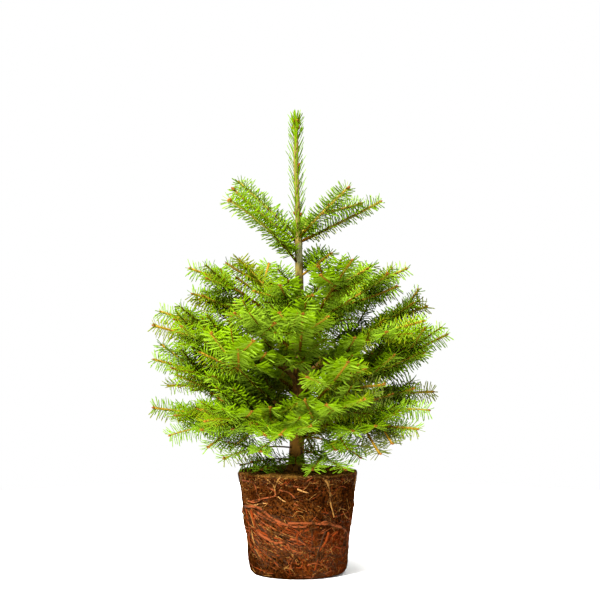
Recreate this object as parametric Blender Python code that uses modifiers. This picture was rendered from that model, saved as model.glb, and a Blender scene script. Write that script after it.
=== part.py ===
# A young Nordmann fir standing on its bare root ball, lifted out of a 7.5 litre nursery pot.
#
# The trunk stands on the soil and runs up to the bud of the leader. Whorls of boughs leave it,
# and each bough ends where it enters its own mass of needle sprays. Metres, +Z up, and the
# origin at the middle of the root ball's flat foot. Seen from the front, +X is to the right.

import math
import random

import bmesh
import bpy
from mathutils import Matrix, Vector, noise
from mathutils.bvhtree import BVHTree

# Root ball
BALL_HEIGHT = 0.205
BALL_FOOT_RADIUS = 0.0955
BALL_RIM_RADIUS = 0.1193
BALL_FOOT_ROUNDING = 0.011
BALL_RIM_ROUNDING = 0.007
BALL_LEAN = 0.0002
BALL_SIDES = 30
SIDE_LUMP = 0.0022
TOP_LUMP = 0.0035
LEVEL_RADIUS = 0.036

# Trunk and leader
TRUNK_FOOT = BALL_HEIGHT + 0.0003
TRUNK_TIP = 0.902
TRUNK_STEPS = 22
FLARE_RADIUS = 0.0075
FLARE_HEIGHT = 0.011
FLARE_LOBES = 5
TRUNK_RADII = ((TRUNK_FOOT, 0.0160), (0.30, 0.0138), (0.45, 0.0108), (0.60, 0.0080), (0.655, 0.0074),
               (0.676, 0.0050), (0.86, 0.0044), (TRUNK_TIP, 0.0030))
KNUCKLES = (0.286, 0.315, 0.385, 0.46, 0.665)
KNUCKLE_SWELL = 0.0011
KNUCKLE_REACH = 0.007

# Boughs and shoots
CLEARANCE = 0.0003
BARE_BOUGH = 0.072
BOUGH_FOOT_RADIUS = 0.0045
BOUGH_END_RADIUS = 0.0032
STEM_INSET = 0.72
SIDE_TWIG_RADIUS = 0.0018
SHOOT_TIP_RADIUS = 0.0011
LAST_GROWTH = 0.105
EARLIER_GROWTH = 0.082
FIRST_SIDE_SHOOT = 0.085
OLDER_SIDE_SHOOT = 0.028
BLADE_REACH = 0.020
BLADE_BELOW = 0.003
YOUNG_BELOW = 0.011
LIFT = (-8, 20)
WHORL_LIFT = {"upper": (-16, 6), "middle": (-14, 12), "lower": (-10, 8), "low": (-10, 8)}
YOUNG_LIFT = (-24, -14)
BARE_LOW_SHARE = 0.36
TOP_SHARE = 0.75
TOOTH_SWEEP = 0.5
NOTCH_SHARE = 0.5
TOOTH_PITCH = 0.031
LEAST_TEETH = 2
LEAST_PARENT = 0.124
NEIGHBOUR_GAP = 0.0010
SHORTEST_SHOOT = 0.052
BENDS = ((0, 0), (9, 0), (-9, 0), (0, 10), (0, -10), (16, 8), (16, -8), (-14, 10), (-14, -10))
SEED = "fir"

# Each whorl: azimuth in degrees, height of the foot, length, and the rise at foot and tip in degrees.
WHORLS = {
    "upper": ((188, 0.457, 0.267, 53, 17), (258, 0.466, 0.205, 43, 20), (303, 0.455, 0.245, 50, 36),
              (352, 0.463, 0.257, 46, 23), (38, 0.456, 0.250, 48, 34), (128, 0.468, 0.264, 49, 29),
              (168, 0.437, 0.253, 44, 14)),
    "middle": ((176, 0.391, 0.306, 34, 17), (235, 0.379, 0.250, 45, 24), (272, 0.391, 0.250, 42, 20),
               (330, 0.380, 0.300, 37, 12), (12, 0.390, 0.300, 41, 16), (92, 0.381, 0.290, 40, 20),
               (196, 0.366, 0.318, 34, 14)),
    "broad": ((186, 0.319, 0.302, 28, 14), (225, 0.307, 0.286, 30, 46), (292, 0.318, 0.266, 18, 32),
              (350, 0.309, 0.338, 34, 26), (30, 0.320, 0.350, 33, 25), (88, 0.310, 0.300, 34, 14),
              (150, 0.318, 0.316, 21, -4)),
    "lower": ((182, 0.290, 0.284, 8, 8), (228, 0.277, 0.258, 23, -6), (262, 0.286, 0.215, 11, -8),
              (301, 0.281, 0.250, 27, 9), (330, 0.291, 0.260, 6, -4), (6, 0.281, 0.286, 33, -1),
              (50, 0.291, 0.280, 13, 3), (115, 0.281, 0.280, 17, 5)),
    "low": ((198, 0.267, 0.261, 23, -18), (222, 0.249, 0.184, 10, -17), (306, 0.249, 0.156, -8, -16),
            (322, 0.270, 0.156, 5, -31), (346, 0.265, 0.272, 33, -6), (80, 0.262, 0.240, 12, -6),
            (204, 0.227, 0.090, 4, -8)),
    "top": ((155, 0.672, 0.174, 42, 40), (190, 0.662, 0.165, 35, 43), (325, 0.670, 0.150, 43, 35),
            (356, 0.661, 0.180, 25, 28), (75, 0.664, 0.088, 34, 30)),
    "inner": ((220, 0.620, 0.210, 46, 22), (335, 0.593, 0.082, 34, 34)),
}
BOUGHED_WHORLS = ("upper", "middle", "broad")
WITHOUT_BOUGH = ("upper_38", "upper_168", "middle_92", "middle_196", "broad_88", "broad_30", "broad_150")
# The young shoots at the top carry no side shoot, or one, on the left. Their needles hang lower.
YOUNG = {"top_155": (), "top_190": (), "top_325": (1,), "top_356": (), "top_75": (), "inner_220": ()}
# The shoot over the rim of the ball carries its side shoots on the right only.
ONE_SIDED = {"low_306": (-1,)}

# Main roots on the ball: azimuth and height where they start, sweep in degrees, drop, and radius.
MAIN_ROOTS = ((196, 0.140, 78, 0.034, 0.0030), (204, 0.122, 62, 0.052, 0.0034), (256, 0.114, 62, 0.022, 0.0030),
              (262, 0.092, 22, 0.042, 0.0028), (292, 0.100, -16, 0.062, 0.0026), (24, 0.150, 92, 0.070, 0.0032),
              (118, 0.165, 64, 0.110, 0.0030), (340, 0.160, 60, 0.055, 0.0026))
ROOT_STEPS = 7
ROOT_FROM_RIM = 0.018

MATERIALS = {
    "soil": ((0.105, 0.058, 0.030), 0.95),
    "bark": ((0.260, 0.215, 0.120), 0.80),
    "bough_bark": ((0.235, 0.160, 0.070), 0.80),
    "needles": ((0.150, 0.300, 0.045), 0.55),
}


def clear_scene():
    for thing in list(bpy.data.objects):
        bpy.data.objects.remove(thing)


def make_materials():
    made = {}
    for name, (colour, roughness) in MATERIALS.items():
        material = bpy.data.materials.new(name)
        material.use_nodes = True
        shader = material.node_tree.nodes["Principled BSDF"]
        shader.inputs["Base Color"].default_value = (*colour, 1)
        shader.inputs["Roughness"].default_value = roughness
        shader.inputs["Metallic"].default_value = 0
        made[name] = material
    return made


def make_collection(name):
    collection = bpy.data.collections.new(name)
    bpy.context.scene.collection.children.link(collection)
    return collection


def link_mesh(name, mesh, collection):
    thing = bpy.data.objects.new(name, mesh)
    collection.objects.link(thing)
    return thing


def link_bmesh(name, shape, collection):
    mesh = bpy.data.meshes.new(name)
    shape.to_mesh(mesh)
    shape.free()
    return link_mesh(name, mesh, collection)


def dress(thing, material):
    """Gives the whole solid one material, after a Boolean has left it others."""
    thing.data.materials.clear()
    thing.data.materials.append(material)


def shade_round(thing, angle=40):
    thing.data.shade_smooth()
    thing.data.set_sharp_from_angle(angle=math.radians(angle))


def interpolate(pairs, x):
    """The value at x between rising pairs of (x, value)."""
    for (x0, v0), (x1, v1) in zip(pairs, pairs[1:]):
        if x <= x1:
            return v0 + (v1 - v0) * max(0.0, (x - x0) / (x1 - x0))
    return pairs[-1][1]


def cut_apart(thing, cutter, operation="DIFFERENCE"):
    """Applies a Boolean with one cutter, and keeps the cutter."""
    step = thing.modifiers.new("boolean", "BOOLEAN")
    step.operation = operation
    step.object = cutter
    apply_modifiers(thing)


def apply_modifiers(thing):
    bpy.context.view_layer.update()
    graph = bpy.context.evaluated_depsgraph_get()
    mesh = bpy.data.meshes.new_from_object(thing.evaluated_get(graph))
    old = thing.data
    thing.modifiers.clear()
    thing.data = mesh
    bpy.data.meshes.remove(old)


def unite(thing, others):
    """Joins the other solids into this one with one Boolean on a collection, and removes them."""
    if not others:
        return
    group = make_collection("joined")
    for other in others:
        group.objects.link(other)
    step = thing.modifiers.new("union", "BOOLEAN")
    step.operation = "UNION"
    step.operand_type = "COLLECTION"
    step.collection = group
    apply_modifiers(thing)
    for other in others:
        bpy.data.objects.remove(other)
    bpy.data.collections.remove(group)


# Lines


def limb_line(start, azimuth, length, rise_foot, rise_tip, steps=14):
    """Points along a limb whose rise changes evenly from its foot to its tip. Angles are in degrees."""
    points = [Vector(start)]
    heading = math.radians(azimuth)
    for i in range(steps):
        rise = math.radians(rise_foot + (rise_tip - rise_foot) * (i + 0.5) / steps)
        step = Vector((math.cos(rise) * math.cos(heading), math.cos(rise) * math.sin(heading), math.sin(rise)))
        points.append(points[-1] + step * (length / steps))
    return points


def line_at(line, distance):
    """The point and the direction at a distance along a line of evenly spaced points."""
    step = (line[1] - line[0]).length
    index = min(max(int(distance / step), 0), len(line) - 2)
    direction = (line[index + 1] - line[index]).normalized()
    return line[index] + direction * (distance - index * step), direction


def stretch_of(line, start, end, steps):
    return [line_at(line, start + (end - start) * i / steps)[0] for i in range(steps + 1)]


def line_length(line):
    return sum((b - a).length for a, b in zip(line, line[1:]))


def tube(name, points, radii, bevel_resolution, collection):
    """A round limb along the points, with flat ends, as a closed mesh."""
    curve = bpy.data.curves.new(name, "CURVE")
    curve.dimensions = "3D"
    curve.bevel_depth = 1.0
    curve.bevel_resolution = bevel_resolution
    curve.use_fill_caps = True
    spline = curve.splines.new("POLY")
    spline.points.add(len(points) - 1)
    for spot, point, radius in zip(spline.points, points, radii):
        spot.co = (*point, 1)
        spot.radius = radius
    guide = bpy.data.objects.new(name, curve)
    collection.objects.link(guide)
    bpy.context.view_layer.update()
    graph = bpy.context.evaluated_depsgraph_get()
    shape = bmesh.new()
    shape.from_mesh(bpy.data.meshes.new_from_object(guide.evaluated_get(graph)))
    bmesh.ops.remove_doubles(shape, verts=shape.verts, dist=1e-6)
    shape.transform(guide.matrix_world)
    bpy.data.objects.remove(guide)
    return link_bmesh(name, shape, collection)


# Root ball


def ball_radius(height):
    """The turned outline of the ball's side, before its lumps."""
    share = height / BALL_HEIGHT
    radius = BALL_FOOT_RADIUS + (BALL_RIM_RADIUS - BALL_FOOT_RADIUS) * share
    from_foot = max(0.0, BALL_FOOT_ROUNDING - height)
    from_rim = max(0.0, BALL_RIM_ROUNDING - (BALL_HEIGHT - height))
    radius -= BALL_FOOT_ROUNDING - math.sqrt(BALL_FOOT_ROUNDING**2 - from_foot**2)
    radius -= BALL_RIM_ROUNDING - math.sqrt(BALL_RIM_ROUNDING**2 - from_rim**2)
    return radius


def ball_axis(height):
    return BALL_LEAN * height / BALL_HEIGHT


def side_lump(point):
    """How far the soil stands out of the turned outline, less near the flat foot."""
    fade = min(1.0, point.z / 0.02)
    rough = noise.noise(point * 22) + 0.6 * noise.noise(point * 55 + Vector((7, 3, 1)))
    return SIDE_LUMP * fade * rough


def ball_surface(azimuth, height):
    """A point of the lumpy side, and the outward direction there."""
    outward = Vector((math.cos(azimuth), math.sin(azimuth), 0))
    point = outward * ball_radius(height) + Vector((ball_axis(height), 0, height))
    return point + outward * side_lump(point), outward


def ball_profile():
    """The outline at +X from the level place over the side and under the foot, top to bottom."""
    heights = [BALL_HEIGHT - BALL_RIM_ROUNDING * (1 - math.cos(math.radians(a))) for a in (18, 54, 90)]
    heights += [BALL_HEIGHT * share for share in (0.84, 0.7, 0.56, 0.42, 0.28, 0.15)]
    heights += [BALL_FOOT_ROUNDING * (1 - math.sin(math.radians(a))) for a in (12, 48)]
    top = [(0.0, BALL_HEIGHT), (LEVEL_RADIUS, BALL_HEIGHT), (0.062, BALL_HEIGHT), (0.088, BALL_HEIGHT)]
    foot = [(BALL_FOOT_RADIUS - BALL_FOOT_ROUNDING, 0.0), (0.0, 0.0)]
    return top + [(ball_radius(h), h) for h in heights] + foot


def shape_ball(mesh):
    """Leans the turned ball, and raises the lumps of its side and top. The foot and the trunk's place stay flat."""
    for vertex in mesh.vertices:
        spot = vertex.co
        from_axis = math.hypot(spot.x, spot.y)
        on_top = spot.z > BALL_HEIGHT - 1e-5
        if on_top and from_axis > LEVEL_RADIUS + 1e-4:
            spot.z += TOP_LUMP * (noise.noise(spot * 38) - 0.25)
        elif not on_top and spot.z > 1e-5:
            outward = Vector((spot.x, spot.y, 0)).normalized()
            leaned = spot + Vector((ball_axis(spot.z), 0, 0))
            spot += outward * side_lump(leaned)
        spot.x += ball_axis(spot.z)


def turned_ball(collection):
    mesh = bpy.data.meshes.new("root_ball")
    profile = ball_profile()
    edges = [(i, i + 1) for i in range(len(profile) - 1)]
    mesh.from_pydata([(x, 0, z) for x, z in profile], edges, [])
    ball = link_mesh("root_ball", mesh, collection)
    screw = ball.modifiers.new("turn", "SCREW")
    screw.steps = screw.render_steps = BALL_SIDES
    screw.use_merge_vertices = True
    screw.merge_threshold = 0.0001
    apply_modifiers(ball)
    shape_ball(ball.data)
    return ball


def surface_root(index, azimuth, height, sweep, drop, radius, collection):
    """One root half sunk in the side of the ball, waving a little as it sweeps round and down."""
    points, radii = [], []
    for i in range(ROOT_STEPS + 1):
        share = i / ROOT_STEPS
        wave = 0.004 * math.sin(share * 9 + index * 1.7)
        around = math.radians(azimuth + sweep * share)
        spot, outward = ball_surface(around, height - drop * share**1.3 + wave)
        points.append(spot - outward * radius * 0.2)
        radii.append(radius * (1.05 - 0.55 * share))
    return tube(f"root_{index}", points, radii, 0, collection)


def build_root_ball(parts, helpers, materials):
    ball = turned_ball(parts)
    roots = [surface_root(i, *row, helpers) for i, row in enumerate(MAIN_ROOTS)]
    unite(ball, roots)
    dress(ball, materials["soil"])
    shade_round(ball, 50)
    return ball


# Trunk


def trunk_point(height):
    """The trunk's own line: a slight bend to the right under the top whorl, and back to the tip."""
    share = (height - TRUNK_FOOT) / (TRUNK_TIP - TRUNK_FOOT)
    return Vector((-0.004 + 0.007 * math.sin(math.pi * min(1.0, share * 1.15)), 0.003 * math.sin(5 * share), height))


def trunk_radius(height):
    swell = sum(KNUCKLE_SWELL * math.exp(-(((height - k) / KNUCKLE_REACH) ** 2)) for k in KNUCKLES)
    return interpolate(TRUNK_RADII, height) + swell


def trunk_heights():
    """Even steps up the trunk, finer in the flare."""
    flare = [TRUNK_FOOT + FLARE_HEIGHT * share for share in (0, 0.5, 1.2)]
    rest = TRUNK_TIP - flare[-1]
    return flare + [flare[-1] + rest * (i + 1) / TRUNK_STEPS for i in range(TRUNK_STEPS)]


def spread_flare(mesh):
    """Draws the foot of the trunk out into root lobes."""
    for vertex in mesh.vertices:
        spot = vertex.co
        centre = trunk_point(spot.z)
        outward = Vector((spot.x - centre.x, spot.y - centre.y, 0))
        around = math.atan2(outward.y, outward.x)
        lobe = 0.62 + 0.38 * math.cos(FLARE_LOBES * around + 0.6)
        spread = FLARE_RADIUS * lobe * math.exp(-(spot.z - TRUNK_FOOT) / FLARE_HEIGHT)
        if outward.length > 1e-6:
            spot += outward.normalized() * spread


def build_trunk(parts, materials):
    heights = trunk_heights()
    points = [trunk_point(h) for h in heights]
    trunk = tube("trunk", points, [trunk_radius(h) for h in heights], 3, parts)
    spread_flare(trunk.data)
    for vertex in trunk.data.vertices:
        vertex.co.z = max(vertex.co.z, TRUNK_FOOT)
    dress(trunk, materials["bark"])
    shade_round(trunk)
    return trunk


def trunk_cutter(helpers):
    """The trunk with the clearance all round it, for cutting the feet of boughs and stems."""
    heights = trunk_heights()
    points = [trunk_point(h) for h in heights]
    radii = [trunk_radius(h) + CLEARANCE for h in heights]
    cutter = tube("trunk_cutter", points, radii, 3, helpers)
    spread_flare(cutter.data)
    cutter.hide_render = True
    cutter.display_type = "WIRE"
    return cutter


# Sprays


def bent(line, pitch, yaw):
    """The same line turned more and more towards its tip, by up to these degrees upward and to the left."""
    if not (pitch or yaw):
        return line
    points = [line[0]]
    last = len(line) - 1
    for i, (start, end) in enumerate(zip(line, line[1:])):
        share = min(1.0, 1.6 * (i + 1) / last)
        step = end - start
        side = Vector((0, 0, 1)).cross(step).normalized()
        step = Matrix.Rotation(math.radians(-pitch * share), 3, side) @ step
        step = Matrix.Rotation(math.radians(yaw * share), 3, "Z") @ step
        points.append(points[-1] + step)
    return points


def frame_at(line, distance, roll):
    """The point, and the sideways, upward and forward directions of a shoot rolled about its line."""
    spot, forward = line_at(line, distance)
    side = Vector((0, 0, 1)).cross(forward).normalized()
    side = Matrix.Rotation(roll, 3, forward) @ side
    return spot, side, forward.cross(side), forward


def blade_stations(length, bare, reach, twig_foot):
    """The joints of a spray from its foot to its tip: (place, forward shift, reach of its needles)."""
    teeth = max(LEAST_TEETH, round((length - bare) / TOOTH_PITCH))
    pitch = (length - bare) / teeth
    stations = [(0.0, 0.0, twig_foot), (bare, 0.0, twig_foot)]
    for i in range(teeth):
        share = (i + 0.5) / teeth
        out = reach * min(1.0, 0.6 + 1.2 * share) * (1.0 - 0.4 * max(0.0, (share - 0.6) / 0.4))
        stations.append((bare + pitch * (i + 0.34), out * TOOTH_SWEEP, out))
        stations.append((bare + pitch * (i + 1.0), 0.0, out * NOTCH_SHARE if i < teeth - 1 else SHOOT_TIP_RADIUS))
    return stations


def blade_shape(line, length, bare, reach, twig_foot, roll, below, spare):
    """A spray of needles as one toothed blade: a three-cornered rod whose corners step in and out.

    Two corners are the needles on the left and the right, a little below the twig, and the third
    those on top. The spare is added all round, for the test against the neighbours.
    """
    stations = blade_stations(length, bare, reach, twig_foot)
    last = len(stations) - 1
    shape = bmesh.new()
    bmesh.ops.create_cone(shape, cap_ends=True, segments=3, radius1=1, radius2=1, depth=last)
    long_edges = [e for e in shape.edges if abs(e.verts[0].co.z - e.verts[1].co.z) > 0.5]
    bmesh.ops.subdivide_edges(shape, edges=long_edges, cuts=last - 1)
    for vertex in shape.verts:
        place, shift, out = stations[round(vertex.co.z + last / 2)]
        spot, side, up, forward = frame_at(line, min(place, length), roll)
        spot += forward * shift
        if vertex.co.y > 0.9:
            vertex.co = spot + up * (out * (TOP_SHARE if out > 0.006 else 1.2) + spare)
        else:
            lower = min(out * 0.75, below)
            vertex.co = spot + side * math.copysign(out + spare, vertex.co.x) - up * (lower + spare)
    bmesh.ops.remove_doubles(shape, verts=shape.verts, dist=1e-6)
    bmesh.ops.triangulate(shape, faces=shape.faces)
    bmesh.ops.recalc_face_normals(shape, faces=shape.faces)
    return shape


def box_of(shape):
    corners = [v.co for v in shape.verts]
    low = Vector(min(c[i] for c in corners) for i in range(3))
    return low, Vector(max(c[i] for c in corners) for i in range(3))


class Room:
    """The solids placed so far, so that no spray reaches into another node."""

    def __init__(self):
        self.placed = []

    def add(self, node, shape):
        self.placed.append((node, BVHTree.FromBMesh(shape), *box_of(shape)))

    def add_object(self, node, thing):
        shape = bmesh.new()
        shape.from_mesh(thing.data)
        self.add(node, shape)
        shape.free()

    def is_free(self, shape, ignored):
        tree = BVHTree.FromBMesh(shape)
        low, high = box_of(shape)
        for node, other, other_low, other_high in self.placed:
            apart = any(low[i] > other_high[i] or high[i] < other_low[i] for i in range(3))
            if node not in ignored and not apart and tree.overlap(other):
                return False
        return True


class Shoot:
    """One shoot: its line, where its needles start, the radius of its foot, and its roll in radians.

    The hands are the sides that carry side shoots, 1 for the left and -1 for the right, and the lift is the range
    in degrees by which they rise above or fall below it.
    """

    def __init__(self, line, bare, twig_foot, roll=0.0, hands=(1, -1), below=BLADE_BELOW, lift=LIFT):
        self.line, self.bare, self.twig_foot, self.roll = line, bare, twig_foot, roll
        self.hands, self.below, self.lift = hands, below, lift
        self.length = line_length(line)

    def shape(self, length, spare=0.0, turn=0.0):
        reach = BLADE_REACH * (0.7 + 0.3 * min(1.0, self.length / 0.1))
        return blade_shape(self.line, length, self.bare, reach, self.twig_foot, self.roll + turn, self.below, spare)

    def fitted(self, room, ignored):
        """Bends, rolls or shortens the shoot until it is clear of its neighbours, and gives its shape or None."""
        straight = self.line
        for scale in (1.0, 0.85, 0.7):
            length = self.length * scale
            if length < SHORTEST_SHOOT:
                return None
            for pitch, yaw in BENDS:
                self.line = bent(straight, pitch, yaw)
                for turn in (0.0, 0.35, -0.35):
                    wide = self.shape(length, NEIGHBOUR_GAP, turn)
                    free = room.is_free(wide, ignored)
                    wide.free()
                    if free:
                        self.roll += turn
                        return self.shape(length)
        return None


def side_shoot(parent, distance, turn, tilt, length):
    """A shoot that leaves its parent at a turn to the left or right of it."""
    spot, forward = line_at(parent.line, distance)
    heading = math.degrees(math.atan2(forward.y, forward.x))
    rise = math.degrees(math.asin(forward.z)) * math.cos(math.radians(turn)) + tilt
    line = limb_line(spot, heading + turn, length, rise, rise + 6, 8)
    return Shoot(line, 0.2 * length, SIDE_TWIG_RADIUS, math.radians(-0.2 * turn), lift=parent.lift)


def side_shoots(parent, rng):
    """The side shoots of a shoot by rule: a pair at each year's node, longer the older the node is."""
    found = []
    node = parent.length - LAST_GROWTH * min(1.0, parent.length / 0.2)
    span = FIRST_SIDE_SHOOT * min(1.0, parent.length / 0.15)
    while node > 0.035 and parent.length > LEAST_PARENT:
        for turn in parent.hands:
            angle = turn * rng.uniform(40, 56)
            found.append(side_shoot(parent, node + rng.uniform(-0.006, 0.004), angle, rng.uniform(*parent.lift),
                                    span * rng.uniform(0.9, 1.1)))
        node -= EARLIER_GROWTH
        span += OLDER_SIDE_SHOOT
    return found


def whorl_boughs():
    """Every bough or stem: its name, whether a bare bough carries it, and its line from the trunk's bark."""
    for whorl, rows in WHORLS.items():
        for azimuth, foot, length, rise_foot, rise_tip in rows:
            name = f"{whorl}_{azimuth}"
            around = math.radians(azimuth)
            inset = STEM_INSET * trunk_radius(foot)
            start = trunk_point(foot) + inset * Vector((math.cos(around), math.sin(around), 0))
            line = limb_line(start, azimuth, length, rise_foot, rise_tip)
            yield name, whorl in BOUGHED_WHORLS and name not in WITHOUT_BOUGH, line


def build_boughs(parts, materials, cutter, room):
    """The bare inner part of each main bough, cut to the trunk's round."""
    for name, boughed, line in whorl_boughs():
        if not boughed:
            continue
        points = stretch_of(line, 0, BARE_BOUGH, 3)
        radii = [BOUGH_FOOT_RADIUS + (BOUGH_END_RADIUS - BOUGH_FOOT_RADIUS) * i / 3 for i in range(4)]
        bough = tube(f"bough_{name}", points, radii, 1, parts)
        cut_apart(bough, cutter)
        dress(bough, materials["bough_bark"])
        shade_round(bough)
        room.add_object(bough.name, bough)


def stem_of(name, boughed, line):
    """The shoot that carries on a bough from its end, or that leaves the trunk by itself."""
    length = line_length(line)
    whorl = name.split("_")[0]
    lift = WHORL_LIFT.get(whorl, LIFT)
    if boughed:
        return Shoot(stretch_of(line, BARE_BOUGH + CLEARANCE, length, 14), 0.012, BOUGH_END_RADIUS, lift=lift)
    if name in YOUNG:
        return Shoot(line, 0.010, 0.0032, hands=YOUNG[name], below=YOUNG_BELOW, lift=YOUNG_LIFT)
    bare = BARE_LOW_SHARE * length if whorl == "low" else 0.016 if length < 0.24 else 0.034
    hands = ONE_SIDED.get(name, (1, -1))
    return Shoot(line, bare, 0.0024 if length < 0.24 else 0.0032, hands=hands, lift=lift)


def place_sprays(parts, helpers, materials, cutter, room):
    """The masses of foliage: first every stem, then their side shoots wherever there is room."""
    masses = []
    for name, boughed, line in whorl_boughs():
        node = f"foliage_{name}"
        stem = stem_of(name, boughed, line)
        shape = stem.fitted(room, {"trunk", f"bough_{name}"})
        if shape is None:
            print("no room for", node)
            continue
        room.add(node, shape)
        masses.append((node, boughed, [stem], [link_bmesh(node, shape, parts)]))
    for branching in range(2):
        for node, boughed, shoots, solids in masses:
            rng = random.Random(f"{SEED} {node} {branching}")
            newest = [shoot for parent in shoots for shoot in side_shoots(parent, rng)]
            shoots.clear()
            for shoot in newest:
                shape = shoot.fitted(room, {node})
                if shape is not None:
                    room.add(node, shape)
                    shoots.append(shoot)
                    solids.append(link_bmesh(f"{node}_spray", shape, helpers))
    for node, boughed, shoots, solids in masses:
        unite(solids[0], solids[1:])
        if not boughed:
            cut_apart(solids[0], cutter)
        dress(solids[0], materials["needles"])


# Leader


def needle_spike(root, direction, length, width, collection):
    """One needle as a slim three-sided spike whose root is sunk in its core."""
    shape = bmesh.new()
    bmesh.ops.create_cone(shape, cap_ends=True, segments=3, radius1=width / 2, radius2=0, depth=length)
    turn = direction.to_track_quat("Z", "Y").to_matrix().to_4x4()
    shape.transform(Matrix.Translation(root + direction * length / 2) @ turn)
    return link_bmesh("needle", shape, collection)


def build_leader_foliage(parts, helpers, materials, cutter):
    """The leader's needles: a thin core round the trunk, cut clear of it, and the bud and its ring on top."""
    foot, top = 0.686, TRUNK_TIP + 0.006
    heights = [foot + (top - foot) * i / 6 for i in range(7)]
    points = [trunk_point(h) for h in heights]
    radii = [trunk_radius(h) + 0.0013 for h in heights]
    core = tube("leader_foliage", points, radii, 1, parts)
    rng = random.Random(SEED + "leader")
    spikes = []
    turns, count = 2.4, 30
    for i in range(count):
        share = (i / (count - 1)) ** 0.8
        height = foot + 0.006 + (top - foot - 0.01) * share
        around = turns * i
        outward = Vector((math.cos(around), math.sin(around), 0))
        lean = math.radians(rng.uniform(26, 40) if share < 0.85 else rng.uniform(8, 38))
        direction = (outward * math.sin(lean) + Vector((0, 0, math.cos(lean)))).normalized()
        root = trunk_point(height) + outward * (trunk_radius(height) * 0.6 + 0.0006)
        spikes.append(needle_spike(root, direction, 0.028 if share < 0.8 else 0.024, 0.0042, helpers))
    unite(core, spikes)
    cut_apart(core, cutter)
    dress(core, materials["needles"])
    return core


def main():
    clear_scene()
    materials = make_materials()
    parts = make_collection("nordmann_fir")
    helpers = make_collection("helpers")
    ball = build_root_ball(parts, helpers, materials)
    trunk = build_trunk(parts, materials)
    cutter = trunk_cutter(helpers)
    leader = build_leader_foliage(parts, helpers, materials, cutter)
    room = Room()
    for thing in (ball, trunk, leader):
        room.add_object(thing.name, thing)
    build_boughs(parts, materials, cutter, room)
    place_sprays(parts, helpers, materials, cutter, room)


main()
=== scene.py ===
"""A young Nordmann fir on its bare root ball, dressed over its packed CAD frame.

The trunk, the boughs and the root ball get bark, soil and roots in relief. Each mass of needle
sprays is grown again by the rule of the part's source, and carried on to finer twigs, single
needles and buds. Metres, +Z up, and the front of the tree faces -Y.
"""

import functools
import math
import random

import bmesh
import bpy
import numpy as np
from bpy.props import FloatProperty, FloatVectorProperty, IntProperty, PointerProperty
from mathutils import Matrix, Vector, noise
from mathutils.bvhtree import BVHTree


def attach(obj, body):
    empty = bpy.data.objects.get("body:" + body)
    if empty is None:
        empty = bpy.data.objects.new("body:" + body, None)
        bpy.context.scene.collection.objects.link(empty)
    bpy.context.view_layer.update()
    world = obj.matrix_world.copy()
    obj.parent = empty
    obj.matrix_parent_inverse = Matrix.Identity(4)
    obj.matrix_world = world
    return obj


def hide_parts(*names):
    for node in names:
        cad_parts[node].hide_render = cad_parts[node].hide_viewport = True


bl_info = {
    "name": "Nordmann fir",
    "version": (1, 0, 0),
    "blender": (4, 5, 0),
    "location": "View3D > Sidebar > Fir",
    "description": "Dresses the frame of a young fir with bark, soil, roots, twigs, needles and buds",
    "category": "Add Mesh",
}

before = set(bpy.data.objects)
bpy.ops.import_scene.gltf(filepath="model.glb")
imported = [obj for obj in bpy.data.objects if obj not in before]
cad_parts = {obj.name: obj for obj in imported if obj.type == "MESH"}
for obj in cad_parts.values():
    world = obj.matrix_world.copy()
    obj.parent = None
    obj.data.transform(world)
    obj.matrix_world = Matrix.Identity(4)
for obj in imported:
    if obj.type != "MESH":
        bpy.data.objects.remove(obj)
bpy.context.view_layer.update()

# The named sizes of the part's source, in metres and degrees. The rule below grows the same sprays from them.
BALL_HEIGHT = 0.205
BALL_FOOT_RADIUS = 0.0955
BALL_RIM_RADIUS = 0.1193
BALL_FOOT_ROUNDING = 0.011
BALL_RIM_ROUNDING = 0.007
BALL_LEAN = 0.0002
SIDE_LUMP = 0.0022
TOP_LUMP = 0.0035
LEVEL_RADIUS = 0.036
TRUNK_FOOT = BALL_HEIGHT + 0.0003
TRUNK_TIP = 0.902
FLARE_RADIUS = 0.0075
FLARE_HEIGHT = 0.011
FLARE_LOBES = 5
TRUNK_RADII = ((TRUNK_FOOT, 0.0160), (0.30, 0.0138), (0.45, 0.0108), (0.60, 0.0080), (0.655, 0.0074),
               (0.676, 0.0050), (0.86, 0.0044), (TRUNK_TIP, 0.0030))
KNUCKLES = (0.286, 0.315, 0.385, 0.46, 0.665)
KNUCKLE_SWELL = 0.0011
KNUCKLE_REACH = 0.007
CLEARANCE = 0.0003
BARE_BOUGH = 0.072
BOUGH_FOOT_RADIUS = 0.0045
BOUGH_END_RADIUS = 0.0032
STEM_INSET = 0.72
SIDE_TWIG_RADIUS = 0.0018
SHOOT_TIP_RADIUS = 0.0011
LAST_GROWTH = 0.105
EARLIER_GROWTH = 0.082
FIRST_SIDE_SHOOT = 0.085
OLDER_SIDE_SHOOT = 0.028
BLADE_REACH = 0.020
BLADE_BELOW = 0.003
YOUNG_BELOW = 0.011
LIFT = (-8, 20)
WHORL_LIFT = {"upper": (-16, 6), "middle": (-14, 12), "lower": (-10, 8), "low": (-10, 8)}
YOUNG_LIFT = (-24, -14)
BARE_LOW_SHARE = 0.36
TOP_SHARE = 0.75
TOOTH_SWEEP = 0.5
NOTCH_SHARE = 0.5
TOOTH_PITCH = 0.031
LEAST_TEETH = 2
LEAST_PARENT = 0.124
FULL_SHOOT = 0.2
FULL_SPREAD = 0.15
NEIGHBOUR_GAP = 0.0010
SHORTEST_SHOOT = 0.052
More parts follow.
